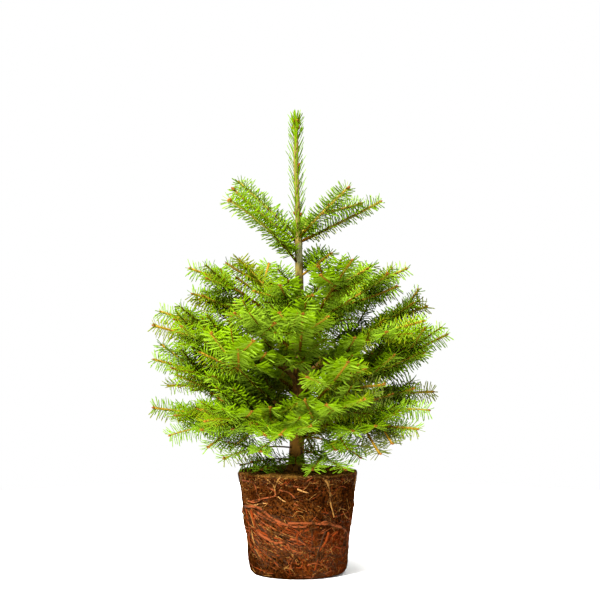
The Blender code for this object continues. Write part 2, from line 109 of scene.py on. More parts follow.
# What a shoot tries to find room: shares of its length, bends in degrees, and rolls in radians. One that finds none
# is left to the scene, at this share of its length.
SHORTENED = (1.0, 0.85, 0.7)
BENDS = ((0, 0), (9, 0), (-9, 0), (0, 10), (0, -10), (16, 8), (16, -8), (-14, 10), (-14, -10))
ROLLS = (0.0, 0.35, -0.35)
NO_ROOM_SHARE = 0.85
# Side shoots: the angle to their parent in degrees, the scatter of their place and of their length, the nearest place
# to the parent's foot, the share that is bare, the rise from foot to tip in degrees, and the roll for each degree of
# the angle.
PAIR_ANGLE = (40, 56)
PAIR_SCATTER = (-0.006, 0.004)
PAIR_SPAN = (0.9, 1.1)
PAIR_NODE = 0.035
SIDE_BARE_SHARE = 0.2
SIDE_RISE = 6
SIDE_ROLL = -0.2
# The bare length at a stem's foot and the radius there: on the end of a bough, and for young, short and long stems.
BOUGH_STEM = (0.012, BOUGH_END_RADIUS)
YOUNG_STEM = (0.010, 0.0032)
SHORT_STEM = (0.016, 0.0024)
LONG_STEM = (0.034, 0.0032)
LONG_STEM_FROM = 0.24
LIMB_STEPS, SIDE_STEPS = 14, 8
SEED = "fir"

# Each whorl: azimuth in degrees, height of the foot, length, and the rise at foot and tip in degrees.
WHORLS = {
    "upper": ((188, 0.457, 0.267, 53, 17), (258, 0.466, 0.205, 43, 20), (303, 0.455, 0.245, 50, 36),
              (352, 0.463, 0.257, 46, 23), (38, 0.456, 0.250, 48, 34), (128, 0.468, 0.264, 49, 29),
              (168, 0.437, 0.253, 44, 14)),
    "middle": ((176, 0.391, 0.306, 34, 17), (235, 0.379, 0.250, 45, 24), (272, 0.391, 0.250, 42, 20),
               (330, 0.380, 0.300, 37, 12), (12, 0.390, 0.300, 41, 16), (92, 0.381, 0.290, 40, 20),
               (196, 0.366, 0.318, 34, 14)),
    "broad": ((186, 0.319, 0.302, 28, 14), (225, 0.307, 0.286, 30, 46), (292, 0.318, 0.266, 18, 32),
              (350, 0.309, 0.338, 34, 26), (30, 0.320, 0.350, 33, 25), (88, 0.310, 0.300, 34, 14),
              (150, 0.318, 0.316, 21, -4)),
    "lower": ((182, 0.290, 0.284, 8, 8), (228, 0.277, 0.258, 23, -6), (262, 0.286, 0.215, 11, -8),
              (301, 0.281, 0.250, 27, 9), (330, 0.291, 0.260, 6, -4), (6, 0.281, 0.286, 33, -1),
              (50, 0.291, 0.280, 13, 3), (115, 0.281, 0.280, 17, 5)),
    "low": ((198, 0.267, 0.261, 23, -18), (222, 0.249, 0.184, 10, -17), (306, 0.249, 0.156, -8, -16),
            (322, 0.270, 0.156, 5, -31), (346, 0.265, 0.272, 33, -6), (80, 0.262, 0.240, 12, -6),
            (204, 0.227, 0.090, 4, -8)),
    "top": ((155, 0.672, 0.174, 42, 40), (190, 0.662, 0.165, 35, 43), (325, 0.670, 0.150, 43, 35),
            (356, 0.661, 0.180, 25, 28), (75, 0.664, 0.088, 34, 30)),
    "inner": ((220, 0.620, 0.210, 46, 22), (335, 0.593, 0.082, 34, 34)),
}
BOUGHED_WHORLS = ("upper", "middle", "broad")
WITHOUT_BOUGH = ("upper_38", "upper_168", "middle_92", "middle_196", "broad_88", "broad_30", "broad_150")
# The young shoots at the top carry no side shoot, or one, on the left. Their needles hang lower.
YOUNG = {"top_155": (), "top_190": (), "top_325": (1,), "top_356": (), "top_75": (), "inner_220": ()}
# The shoot over the rim of the ball carries its side shoots on the right only.
ONE_SIDED = {"low_306": (-1,)}

# The roots that stand out on the front of the ball: radius in mm, tint, and azimuths with heights in mm.
FRONT_ROOTS = (
    (3.0, "salmon", ((202, 137), (226, 140), (242, 122), (253, 113), (266, 106), (279, 106))),
    (2.0, "salmon", ((225, 131), (236, 121), (245, 114), (255, 109), (264, 107))),
    (3.2, "salmon", ((218, 120), (224, 91), (240, 76), (247, 72), (257, 75), (262, 62), (270, 56))),
    (2.4, "rust", ((215, 134), (219, 114), (223, 97), (234, 87), (245, 82), (255, 77), (263, 60))),
    (2.6, "salmon", ((259, 112), (274, 113), (291, 111), (309, 106), (324, 97), (345, 73))),
    (2.2, "salmon", ((292, 109), (300, 114), (311, 104), (323, 98))),
    (1.9, "tan", ((293, 203), (300, 184), (304, 149), (310, 118))),
    (2.4, "salmon", ((261, 82), (272, 78), (279, 68), (284, 59))),
    (2.2, "rust", ((304, 93), (301, 75), (296, 60), (293, 48), (289, 17))),
    (1.9, "rust", ((274, 94), (283, 101), (292, 105))),
    (1.9, "dark", ((270, 84), (276, 74), (281, 61), (286, 55))),
    (2.0, "salmon", ((202, 189), (222, 187), (227, 162))),
    (1.8, "salmon", ((239, 182), (247, 175), (247, 165), (235, 159), (215, 150))),
    (1.8, "salmon", ((209, 150), (223, 149), (234, 159), (243, 161))),
    (1.6, "pale", ((216, 140), (231, 148), (237, 149))),
    (1.8, "salmon", ((251, 177), (261, 173), (268, 160))),
    (1.7, "pale", ((269, 180), (275, 175), (282, 170))),
    (1.5, "salmon", ((265, 186), (272, 183), (278, 184))),
    (1.5, "pale", ((271, 198), (280, 203), (287, 205))),
    (1.8, "salmon", ((275, 188), (281, 199), (286, 204))),
    (1.7, "tan", ((240, 196), (244, 190), (247, 181), (248, 163))),
    (1.8, "tan", ((254, 204), (250, 193), (247, 179))),
    (1.5, "pale", ((250, 164), (255, 157), (258, 154))),
    (1.7, "salmon", ((266, 151), (272, 146))),
    (1.6, "rust", ((310, 122), (321, 124), (332, 127))),
    (1.4, "rust", ((305, 169), (314, 181), (324, 177))),
    (1.8, "rust", ((204, 135), (204, 115), (207, 97), (204, 66), (214, 47))),
    (1.5, "tan", ((212, 95), (214, 73), (217, 59))),
    (1.6, "rust", ((268, 25), (274, 27), (276, 44))),
    (1.6, "salmon", ((280, 29), (289, 33), (299, 27))),
    (1.5, "rust", ((245, 48), (254, 49), (258, 47))),
    (1.9, "rust", ((316, 93), (308, 80), (311, 66), (326, 57), (338, 62))),
    (1.6, "dark", ((300, 96), (297, 82), (294, 62), (292, 53), (291, 41), (290, 14))),
    (1.5, "dark", ((283, 105), (285, 85), (285, 63))),
    (1.7, "rust", ((270, 76), (269, 88), (274, 98), (281, 102))),
)
# Bunches of finer roots: how many, azimuth and height ranges, sweep and drop in degrees and mm, radius, tint.
ROOT_BUNCHES = (
    (130, (195, 250), (60, 140), (20, 60), (10, 60), (0.3, 0.9), ("rust", "dark", "dark", "tan", "rust", "salmon")),
    (190, (260, 345), (8, 112), (-28, 28), (-40, 40), (0.3, 0.9), ("rust", "rust", "salmon", "dark")),
    (130, (196, 344), (112, 202), (-20, 20), (-16, 24), (0.3, 0.7), ("tan", "rust", "tan", "dark", "dark")),
    (110, (200, 335), (6, 75), (-20, 20), (-24, 24), (0.3, 0.7), ("rust", "dark", "tan", "dark")),
    (150, (-20, 200), (8, 110), (-60, 60), (-40, 40), (0.3, 1.0), ("rust", "salmon", "dark", "tan", "rust")),
    (110, (-20, 200), (100, 200), (-30, 30), (-26, 26), (0.3, 0.8), ("tan", "rust", "dark", "tan")),
    (26, (-10, 140), (50, 170), (30, 80), (-40, 60), (1.2, 2.8), ("salmon", "rust", "rust", "tan")),
    (190, (185, 355), (188, 203), (-9, 9), (-9, 14), (0.25, 0.5), ("tan", "dark", "rust", "tan")),
    (160, (262, 340), (10, 105), (-12, 12), (-22, 22), (0.25, 0.45), ("rust", "salmon", "tan", "dark")),
)

# The rise in degrees of the finest twigs above and below the pairs of side shoots in a whorl.
FINE_TWIGS = {"upper": ((-4, 12), (-32, -12)), "middle": ((4, 30), (-24, 0)), "broad": ((4, 32), (-28, -4)),
              "lower": ((2, 22), (-36, -14))}
# The shortest shoot that carries fine twigs, how near its foot they may stand, and the same for the twigs below and
# between the pairs of the lower whorl. Of the shoots too short for pairs, this share carries a single twig.
FINE_PARENT = 0.078
FINE_NODE = 0.030
LOWER_FALL_NODE, LOWER_MIDDLE_NODE = 0.070, 0.080
SINGLE_SHARE = 0.55
# The turn in degrees of the twigs above, below and between the pairs, and their length as a share of a side shoot's.
# Those above and below stray this far from their node, in metres, and their lengths vary between these shares.
RISE_TURN, RISE_SPAN = (6, 26), 1.0
FALL_TURN, FALL_SPAN = (36, 58), 0.85
MIDDLE_TURN, MIDDLE_SPAN = (30, 50), 0.8
NODE_SCATTER, SPAN_SCATTER = (-0.010, 0.004), (0.88, 1.08)
# A single twig: its place and its length as shares of its parent's, and its turn and tilt in degrees.
SINGLE_PLACE, SINGLE_SPAN = 0.34, (0.78, 0.92)
SINGLE_TURN, SINGLE_TILT = (36, 50), (-4, 16)
# Where fine twigs leave a bare bough, in metres from its foot, with their turn and tilt in degrees and their length.
BOUGH_TWIGS = (0.028, 0.044, 0.058, 0.068)
BOUGH_TWIG_TURN, BOUGH_TWIG_TILT, BOUGH_TWIG_SPAN = (34, 62), (-30, 24), (0.062, 0.090)
# Short twigs that leave the trunk by themselves: whorl, azimuth, height, length, rise at foot and tip in degrees.
TRUNK_TWIGS = (("low", 268, 0.231, 0.050, 2, -26), ("inner", 52, 0.603, 0.080, 36, 26),
               ("inner", 128, 0.640, 0.060, 30, 20), ("low", 40, 0.236, 0.060, 8, -8),
               ("broad", 104, 0.345, 0.130, 16, 10), ("middle", 51, 0.395, 0.180, 36, 24),
               ("inner", 322, 0.525, 0.075, 52, 40), ("inner", 215, 0.560, 0.070, 50, 38),
               ("lower", 212, 0.287, 0.054, -12, -42), ("lower", 335, 0.284, 0.050, -54, -66),
               ("lower", 352, 0.288, 0.046, -44, -62))
# Long forks of the main limbs: limb, place along its stem, turn, tilt in degrees, length.
FORK_TWIGS = (("upper_352", 0.026, 9, -20, 0.125), ("upper_303", 0.093, -53, -15, 0.087),
              ("broad_225", 0.136, 70, 3, 0.115), ("broad_292", 0.075, 45, -16, 0.122),
              ("broad_350", 0.080, 8, -11, 0.125), ("lower_228", 0.135, 60, -18, 0.118),
              ("lower_330", 0.137, -41, -32, 0.105), ("low_198", 0.121, 32, -31, 0.092),
              ("low_198", 0.078, -63, -37, 0.090), ("broad_186", 0.127, -37, 12, 0.117),
              ("lower_330", 0.177, -43, -28, 0.072), ("low_204", 0.020, 34, -20, 0.058),
              ("low_204", 0.044, 44, -20, 0.056), ("low_204", 0.060, -30, -12, 0.050),
              ("broad_350", 0.102, -16, -8, 0.104), ("middle_12", 0.155, -14, 27, 0.077),
              ("upper_352", 0.030, -10, -20, 0.125), ("upper_128", 0.023, 54, 6, 0.103))
# The age of the fine twigs, in branchings from the stem.
FINE_AGE = 3
# Openings between the sprays, which fine twigs keep clear of: x and z of the middle, and the radius.
OPENINGS = ((-0.240, 0.348, 0.028), (-0.245, 0.395, 0.022), (-0.145, 0.262, 0.014), (-0.219, 0.589, 0.014),
            (-0.195, 0.535, 0.021), (0.191, 0.533, 0.012))

# Shoots that end above TOP_SHOOTS have stout twigs, and those that start below LOW_SHOOTS have thin ones: radii at
# foot and tip. FORK_RADIUS is for the feet of the first side shoots. A twig tapers over this share of its length, and
# has a ring at each step.
TOP_SHOOTS = 0.68
LOW_SHOOTS = 0.275
TOP_TWIG_RADII = (0.0030, 0.0025)
LOW_TWIG_RADII = (0.0016, 0.0014)
FORK_RADIUS = 0.0024
FINE_TWIG_RADIUS = 0.0015
TWIG_TAPER = 0.75
TWIG_STEP = 0.012
# How far before a shoot's end its twig and its needles stop, and its buds sit.
TWIG_END = 0.006
NEEDLE_END = 0.005
BUD_SEAT = 0.007

NEEDLE_TINTS = ("bright", "fresh", "full", "deep", "painted_shade")
DEEP, PAINTED_SHADE = NEEDLE_TINTS.index("deep"), NEEDLE_TINTS.index("painted_shade")
UNDERSIDE = len(NEEDLE_TINTS)
PALE_UNDERSIDE = UNDERSIDE + 1
# The share of the sprays with pale undersides all over, and the height under which a spray has none. There, and on the
# low whorl, a spray's undersides take its own tint as painted shade.
PALE_SHARE = 0.08
PALE_HEIGHT = 0.27
# How often each tint is dealt, by the age of a shoot and by the part of the crown that its tip is in. The parts where
# shade falls, at the back, under the crown and low at the back, get deeper tints as painted shade, and those low on the
# right get the painted shade tint.
AGE_TINTS = ((5, 5, 3, 1, 0), (4, 5, 4, 2, 0), (2, 4, 5, 3, 0), (0, 3, 6, 3, 0))
PLACE_TINTS = {"back": (0, 3, 5, 3, 0), "top": (4, 5, 2, 0, 0), "low front": (2, 5, 3, 0, 0),
               "low back": (0, 1, 5, 4, 0), "low right": (0, 1, 3, 4, 4), "under": (0, 0, 3, 6, 0),
               "hem": (1, 3, 4, 3, 0), "left": (1, 4, 5, 3, 0)}
# The needles in degrees round a shoot from its top: the parting, the lowest ones, and what each gains on a shoot that
# points to the side. The young shoots at the top have a narrow parting. Needles are at their longest from
# SIDE_NEEDLE on, one tint deeper below PAINTED_SHADE_BELOW as painted shade on the lower rows, and pale underneath
# below PALE_BELOW.
PARTING, PARTING_ASIDE = 60, -22
LOWEST, LOWEST_ASIDE = (108, 134), 20
YOUNG_AROUND = (26, 136)
SIDE_NEEDLE = 100
PAINTED_SHADE_BELOW = 104
PALE_BELOW = 106
# The most degrees that the parting leans outward, on a shoot that points wholly to the side. The lean starts at the
# share LEAN_FROM, and is to the front up to the plane y = LEAN_BACK and to the back behind it.
PARTING_LEAN = 42
LEAN_FROM = 0.6
LEAN_BACK = 0.06
# Degrees between a needle and its shoot, on top, on top of a young shoot and at the sides.
TOP_ANGLE, YOUNG_ANGLE, SIDE_ANGLE = 58, 72, 77
# Each needle stands this much further round than the last.
GOLDEN_ANGLE = 137.508
# Scatter of the needles: degrees round the shoot, off it and about their own lines, shares of length and width, and
# the middle and scatter of their bend.
AROUND_SCATTER, ANGLE_SCATTER, NEEDLE_TWIST = 5, 4, 20
LENGTH_SCATTER, WIDTH_SCATTER = 0.09, 0.08
NEEDLE_BEND = (0.10, 0.07)
# Over this reach before its tip a shoot's needles close up and grow shorter, and over the same from its foot they
# start short, down to these shares.
END_REACH = 0.010
TIP_CLOSED, TIP_SHORT, FOOT_SHORT = 0.72, 0.76, 0.72
# Needles are rooted at this share of the twig's radius.
ROOTED = 0.6
# The way that a needle's upper face looks: its shares of up, of back along the shoot and of outward.
FACE_UP, FACE_BACK, FACE_OUT = 0.9, 0.5, 0.15
# The spacing of the needles on young shoots and on older wood, as a share of the usual one.
YOUNG_SPACING = 0.68
OLD_SPACING = 1.25
# Wood nearer than BARE_WOOD to the tree's middle is bare, on fine twigs that reach out past BARE_REACH.
BARE_WOOD = 0.055
BARE_REACH = 0.09
# The needles of the leader: how many, from and to which height, lean in degrees, length and tint.
LEADER_NEEDLES = ((86, 0.690, 0.872, (26, 35), 0.0320, 1), (38, 0.862, 0.901, (20, 42), 0.0265, 2),
                  (22, 0.890, 0.904, (4, 24), 0.0215, 3), (46, 0.660, 0.690, (30, 58), 0.0225, 2))
# The joints of a needle and of a bud: shares of the length, and of half the width across and up.
NEEDLE_JOINTS = ((0.0, 0.62, 0.38), (0.86, 1.0, 0.48), (1.0, 0.0, 0.0))
BUD_JOINTS = ((0.0, 0.32, 0.32), (0.28, 0.50, 0.50), (0.68, 0.42, 0.42), (1.0, 0.0, 0.0))
# A bud's width as a share of its length, the length of buds by the age of their shoot and on the stout shoots of the
# top, and those of the end bud, the buds round it and the ones along a shoot, as shares of that.
BUD_WIDTH = 0.66
BUD_SCALES, STOUT_BUD = (1.0, 1.0, 0.8, 0.55), 1.5
CENTRE_BUD, ROUND_BUD, ALONG_BUD = 1.1, 0.85, 0.62
# The lengths of the leader's end bud, the ring of buds round it and the small ones, which have a height and azimuth.
END_BUD, RING_BUD, SMALL_BUD = 0.013, 0.0105, 0.0085
LEADER_BUDS = ((0.900, 200), (0.896, 185), (0.886, 170), (0.885, 350), (0.879, 280), (0.811, 340), (0.714, 200),
               (0.712, 330))

ROOT_TINTS = ("salmon", "rust", "tan", "pale", "dark")
# A root's middle line lies this far out of the soil, waves this much in and out, and has its ends this deep: shares of
# its radius.
ROOT_RIDE, ROOT_WAVE, ROOT_BURIED = 0.35, 0.45, 2.2
# The ball's mesh: rings on its side and on its top, and steps round it.
SIDE_RINGS, TOP_RINGS, BALL_STEPS = 92, 42, 210
# The trunk's mesh: rings, roundness, depth in the soil, and the bark that thickens the leader from its foot up.
TRUNK_RINGS = 300
TRUNK_ROUNDNESS = 18
TRUNK_SUNK = 0.002
LEADER_FOOT = 0.68
LEADER_BARK = 0.0004
# How fine the ridges of the bark are across the trunk and along it, and its lumps.
RIDGES_ACROSS, RIDGES_ALONG, BARK_LUMPS = 220, 70, 60
# The boughs' mesh: rings, and the heights of the collar at the foot, of the knots and of the bark's roughness.
BOUGH_RINGS = 44
BOUGH_COLLAR = 0.0016
BOUGH_KNOTS = 0.0004
BOUGH_ROUGHNESS = 0.00035

FLOOR_RADIUS = 1.6
# The lamps: place, what it aims at, diameter, and share of the key light's power.
LAMPS = {"key_light": ((-2.3, -2.9, 3.1), (0, 0, 0.4), 1.0, 1.0),
         "top_light": ((0.6, -0.4, 3.6), (0, 0, 0.4), 2.4, 0.35)}


# Sizes and colours


def size(name, default, text):
    return FloatProperty(name=name, description=text, default=default, min=0.0, unit="LENGTH", precision=4)


def colour(name, default, text):
    return FloatVectorProperty(name=name, description=text, default=default, min=0.0, max=1.0, subtype="COLOR")


class BallSettings(bpy.types.PropertyGroup):
    """The soil of the root ball and the roots in it."""

    relief: size("Soil relief", 0.0017, "How far the crumbs of soil stand out of the side")
    dark_soil: colour("Dark soil", (0.003, 0.0008, 0.0002), "Moist peat in the hollows")
    soil: colour("Soil", (0.019, 0.0040, 0.0005), "Peat on the face of the ball")
    dry_soil: colour("Dry soil", (0.068, 0.022, 0.0034), "Dry crumbs and fibres")
    red_soil: colour("Rusty soil", (0.036, 0.0052, 0.0005), "Peat stained by the mat of young roots")
    litter: colour("Litter", (0.120, 0.058, 0.010), "Moss and old needles on top of the ball")
    salmon: colour("Salmon root", (0.102, 0.024, 0.006), "Thick young roots")
    rust: colour("Rust root", (0.084, 0.013, 0.0012), "Older roots")
    tan: colour("Tan root", (0.150, 0.070, 0.016), "Dry thin roots")
    pale: colour("Pale root", (0.200, 0.098, 0.028), "Broken ends and new root tips")
    dark: colour("Dark root", (0.020, 0.009, 0.004), "Dead roots")
    root_stain: colour("Root stain", (0.018, 0.006, 0.001), "Soil that clings to the roots")


class BarkSettings(bpy.types.PropertyGroup):
    """The bark of the trunk and the boughs."""

    relief: size("Bark relief", 0.0006, "Depth of the bark's ridges")
    old_bark: colour("Old bark", (0.120, 0.054, 0.005), "Bark at the foot of the trunk")
    cracks: colour("Cracks", (0.014, 0.005, 0.001), "Dark furrows of the old bark")
    bark: colour("Bark", (0.112, 0.084, 0.018), "Smooth bark higher up")
    lichen: colour("Pale bark", (0.215, 0.215, 0.095), "Pale grey green patches")
    leader_bark: colour("Leader bark", (0.105, 0.082, 0.014), "Bark of the last year's leader")
    bough_bark: colour("Bough bark", (0.055, 0.030, 0.005), "Bark of the main boughs")


class TwigSettings(bpy.types.PropertyGroup):
    """The twigs and the buds at their ends."""

    radius: size("Twig radius", 0.0024, "Radius of a shoot of the last year")
    young_twig: colour("Young twig", (0.122, 0.068, 0.004), "Golden shoots of the last year")
    old_twig: colour("Old twig", (0.046, 0.022, 0.001), "Shoots of earlier years")
    top_twig: colour("Top twig", (0.185, 0.118, 0.016), "Stout pale shoots of the top whorl")
    bud: colour("Bud", (0.078, 0.030, 0.002), "Resinous winter buds")
    pale_bud: colour("Pale bud", (0.115, 0.052, 0.004), "Buds with dry scales")
    bud_length: size("Bud length", 0.0062, "Length of an end bud")


class NeedleSettings(bpy.types.PropertyGroup):
    """The needles."""

    side_length: size("Side needle", 0.0242, "Length of the needles at the sides of a shoot")
    top_length: size("Top needle", 0.0190, "Length of the needles on top of a shoot")
    width: size("Needle width", 0.0027, "Width of a needle")
    spacing: size("Needle spacing", 0.00088, "Distance along the shoot from one needle to the next")
    bright: colour("Bright needles", (0.092, 0.160, 0.010), "Sunlit yellow green sprays")
    fresh: colour("Fresh needles", (0.087, 0.150, 0.006), "Young green sprays")
    full: colour("Full needles", (0.074, 0.134, 0.002), "Grown green sprays")
    # Deep needles are the darker green of older sprays. They are also dealt as painted shade where shade falls in the
    # crown.
    deep: colour("Deep needles", (0.074, 0.090, 0.001), "Older sprays inside")
    # A painted shade tint: darker grey green needles dealt to the sprays low on the right, where shade falls.
    painted_shade: colour("Dull needles", (0.048, 0.058, 0.008), "Greyed sprays low on the right")
    underside: colour("Underside", (0.072, 0.128, 0.001), "Lower face of most needles")
    pale_underside: colour("Pale underside", (0.090, 0.148, 0.007), "Lower face of the sprays with clear pale bands")


class StageSettings(bpy.types.PropertyGroup):
    """Floor, light and camera."""

    floor: colour("Floor", (0.86, 0.86, 0.86), "The pale floor")
    camera_height: size("Camera height", 0.52, "Height of the level camera")
    camera_distance: size("Camera distance", 3.0, "Distance of the camera from the trunk")
    focal_length: FloatProperty(name="Focal length", description="Lens in millimetres", default=90.0, min=1.0)
    lens_shift: FloatVectorProperty(name="Lens shift", description="Shift of the photograph's frame", size=2,
                                    default=(2 / 600, 12 / 600))
    key_power: FloatProperty(name="Key light", description="Power of the large light, front left", default=1200.0,
                             min=0.0, unit="POWER")
    sky: FloatProperty(name="Surrounding light", description="Brightness of the white surroundings", default=1.0,
                       min=0.0)
    seed: IntProperty(name="Seed", description="Number from which all small variations follow", default=7)


SETTINGS = {"fir_ball": BallSettings, "fir_bark": BarkSettings, "fir_twigs": TwigSettings,
            "fir_needles": NeedleSettings, "fir_stage": StageSettings}


def settings(name):
    return getattr(bpy.context.scene, name)


# Materials


class Value:
    """A socket of a material, so that shader maths reads as Python."""

    def __init__(self, paint, socket):
        self.paint, self.socket = paint, socket

    def maths(self, operation, first, second):
        return self.paint.node("ShaderNodeMath", {"operation": operation}, {0: first, 1: second})

    def __add__(self, other):
        return self.maths("ADD", self, other)

    __radd__ = __add__

    def __sub__(self, other):
        return self.maths("SUBTRACT", self, other)

    def __rsub__(self, other):
        return self.maths("SUBTRACT", other, self)

    def __mul__(self, other):
        return self.maths("MULTIPLY", self, other)

    __rmul__ = __mul__

    def clamped(self, low, high):
        """0 below low, 1 above high, and a smooth rise between."""
        return self.paint.node("ShaderNodeMapRange", {"interpolation_type": "SMOOTHSTEP"},
                               {"Value": self, "From Min": low, "From Max": high})


class Paint:
    """A new material with a Principled shader, and its nodes."""

    def __init__(self, name, **constants):
        self.material = bpy.data.materials.new(name)
        self.material.use_nodes = True
        self.tree = self.material.node_tree
        self.shader = self.tree.nodes["Principled BSDF"]
        for socket, value in constants.items():
            self.set(socket.replace("_", " ").title(), value)

    def feed(self, place, value):
        """Links a value into a socket, or sets it there. A colour of three numbers gets its fourth."""
        if isinstance(value, Value):
            self.tree.links.new(value.socket, place)
        elif hasattr(value, "__len__") and len(value) == 3 and len(place.default_value) == 4:
            place.default_value = (*value, 1)
        else:
            place.default_value = value

    def set(self, socket, value):
        self.feed(self.shader.inputs[socket], value)
        return self

    def node(self, kind, setup=(), inputs=(), output=0):
        """A new node: its settings first, then its sockets. Gives one of its outputs."""
        made = self.tree.nodes.new(kind)
        for name, value in dict(setup).items():
            setattr(made, name, value)
        for name, value in dict(inputs).items():
            self.feed(made.inputs[name], value)
        return Value(self, made.outputs[output])

    def place(self):
        return self.node("ShaderNodeTexCoord", output="Object")

    def axis(self, letter):
        return self.node("ShaderNodeSeparateXYZ", {}, {0: self.place()}, "XYZ".index(letter))

    def noise(self, scale, detail=4.0, roughness=0.6, stretch=(1, 1, 1)):
        spot = self.node("ShaderNodeMapping", {}, {"Vector": self.place(), "Scale": stretch})
        return self.node("ShaderNodeTexNoise", {}, {"Vector": spot, "Scale": scale, "Detail": detail,
                                                    "Roughness": roughness})

    def cells(self, scale):
        return self.node("ShaderNodeTexVoronoi", {"feature": "F1"}, {"Vector": self.place(), "Scale": scale})

    def blend(self, share, first, second):
        return self.node("ShaderNodeMix", {"data_type": "RGBA"}, {0: share, 6: first, 7: second}, 2)

    def bump(self, height, strength, distance):
        self.set("Normal", self.node("ShaderNodeBump", {}, {"Height": height, "Strength": strength,
                                                            "Distance": distance}))
        return self


def root_material(tint):
    """A root of one tint, dulled in patches by the soil that clings to it."""
    ball = settings("fir_ball")
    paint = Paint(f"{tint}_root_finish", roughness=0.7)
    paint.set("Specular IOR Level", 0.02)
    skin, film = paint.noise(260, 4, 0.6), paint.noise(70, 4, 0.65)
    shade = paint.blend((film * 0.6 + skin * 0.4).clamped(0.45, 0.58), getattr(ball, tint), ball.root_stain)
    paint.set("Base Color", shade)
    return paint.bump(skin, 0.5, 0.0005).material


@functools.lru_cache(maxsize=None)
def plain(name, shade, roughness, specular):
    """The finish of a fine piece, one colour all over. Needles, twigs and buds vary from spray to spray."""
    paint = Paint(f"{name}_finish", roughness=roughness)
    paint.set("Base Color", shade)
    paint.set("Specular IOR Level", specular)
    return paint.material


def soil_material():
    """Moist peat with dry crumbs and fibres, rusty low on the right, and litter on top."""
    ball = settings("fir_ball")
    paint = Paint("soil_finish", roughness=0.95)
    paint.set("Specular IOR Level", 0.0)
    coarse, crumbs, grit = paint.noise(14, 5, 0.6), paint.noise(210, 6, 0.75), paint.cells(420)
    fibres = paint.noise(120, 8, 0.75, (1.0, 1.0, 3.6))
    threads = paint.noise(110, 6, 0.7, (3.2, 3.2, 0.8))
    shade = paint.blend(crumbs.clamped(0.45, 0.58), ball.dark_soil, ball.soil)
    shade = paint.blend(coarse.clamped(0.40, 0.66) * crumbs.clamped(0.46, 0.58) * 0.8, shade, ball.dry_soil)
    right = paint.axis("X").clamped(-0.02, 0.045) * (1.0 - paint.axis("Z").clamped(0.085, 0.125))
    red = right * paint.noise(34, 5).clamped(0.36, 0.62)
    shade = paint.blend(red * 0.75, shade, ball.red_soil)
    shade = paint.blend(fibres.clamped(0.56, 0.66) * 0.7, shade, ball.dry_soil)
    shade = paint.blend(threads.clamped(0.57, 0.66) * 0.7, shade, ball.dry_soil)
    litter = paint.axis("Z").clamped(0.198, 0.204) * (0.35 + crumbs.clamped(0.42, 0.60) * 0.65)
    shade = paint.blend(litter * 0.8, shade, ball.litter)
    paint.set("Base Color", shade)
    return paint.bump(crumbs * 0.6 + grit * 0.4 + fibres * 0.4 + threads * 0.4, 1.0, 0.0022).material


def bark_material():
    """Old cracked bark at the foot, smooth bark with pale patches above it, and the leader's young bark."""
    bark = settings("fir_bark")
    paint = Paint("bark_finish", roughness=0.72)
    paint.set("Specular IOR Level", 0.08)
    height = paint.axis("Z")
    ridges, patches = paint.noise(140, 5, 0.6, (1, 1, 0.35)), paint.noise(38, 3, 0.5, (1, 1, 0.5))
    rings = paint.noise(26, 4, 0.6, (0.25, 0.25, 4.0))
    shade = paint.blend(height.clamped(0.36, 0.56), bark.old_bark, bark.bark)
    shade = paint.blend(patches.clamped(0.50, 0.62) * height.clamped(0.40, 0.55) * (1 - height.clamped(0.655, 0.68)),
                        shade, bark.lichen)
    shade = paint.blend(height.clamped(0.645, 0.675), shade, bark.leader_bark)
    shade = paint.blend(ridges.clamped(0.50, 0.60) * (0.9 - height.clamped(0.30, 0.50) * 0.6), shade, bark.cracks)
    shade = paint.blend(rings.clamped(0.58, 0.68) * 0.45, shade, bark.old_bark)
    paint.set("Base Color", shade)
    return paint.bump(ridges + rings * 0.5, 0.6, 0.0008).material


def bough_material():
    """Brown bark with darker and paler grain."""
    bark = settings("fir_bark")
    paint = Paint("bough_finish", roughness=0.75)
    paint.set("Specular IOR Level", 0.08)
    grain = paint.noise(170, 5, 0.6)
    shade = paint.blend(grain.clamped(0.40, 0.66), bark.bough_bark, bark.old_bark)
    shade = paint.blend(paint.noise(60, 3).clamped(0.56, 0.70) * 0.6, shade, bark.bark)
    paint.set("Base Color", shade)
    return paint.bump(grain, 0.6, 0.0006).material


# Meshes


def add_object(name, mesh):
    made = bpy.data.objects.new(name, mesh)
    bpy.context.scene.collection.objects.link(made)
    return made


def finish(piece, nodes=()):
    """Hangs a finished piece on the tree's one body, in the place of the CAD nodes."""
    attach(piece, "root")
    if nodes:
        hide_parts(*nodes)


def foliage_nodes(whorl=None):
    """The CAD nodes of one whorl's foliage, or of all."""
    start = f"foliage_{whorl}_" if whorl else "foliage_"
    return sorted(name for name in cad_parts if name.startswith(start))


def joined(name, points, faces, slots, materials, smooth=False):
    """One mesh from arrays of points and of triangles, each with its material's number."""
    mesh = bpy.data.meshes.new(name)
    mesh.vertices.add(len(points))
    mesh.vertices.foreach_set("co", np.ascontiguousarray(points, np.float32).ravel())
    mesh.loops.add(len(faces) * 3)
    mesh.loops.foreach_set("vertex_index", np.ascontiguousarray(faces, np.int32).ravel())
    mesh.polygons.add(len(faces))
    mesh.polygons.foreach_set("loop_start", np.arange(0, len(faces) * 3, 3, dtype=np.int32))
    mesh.polygons.foreach_set("material_index", np.ascontiguousarray(slots, np.int32))
    mesh.polygons.foreach_set("use_smooth", np.full(len(faces), smooth))
    for material in materials:
        mesh.materials.append(material)
    mesh.update(calc_edges=True)
    return add_object(name, mesh)


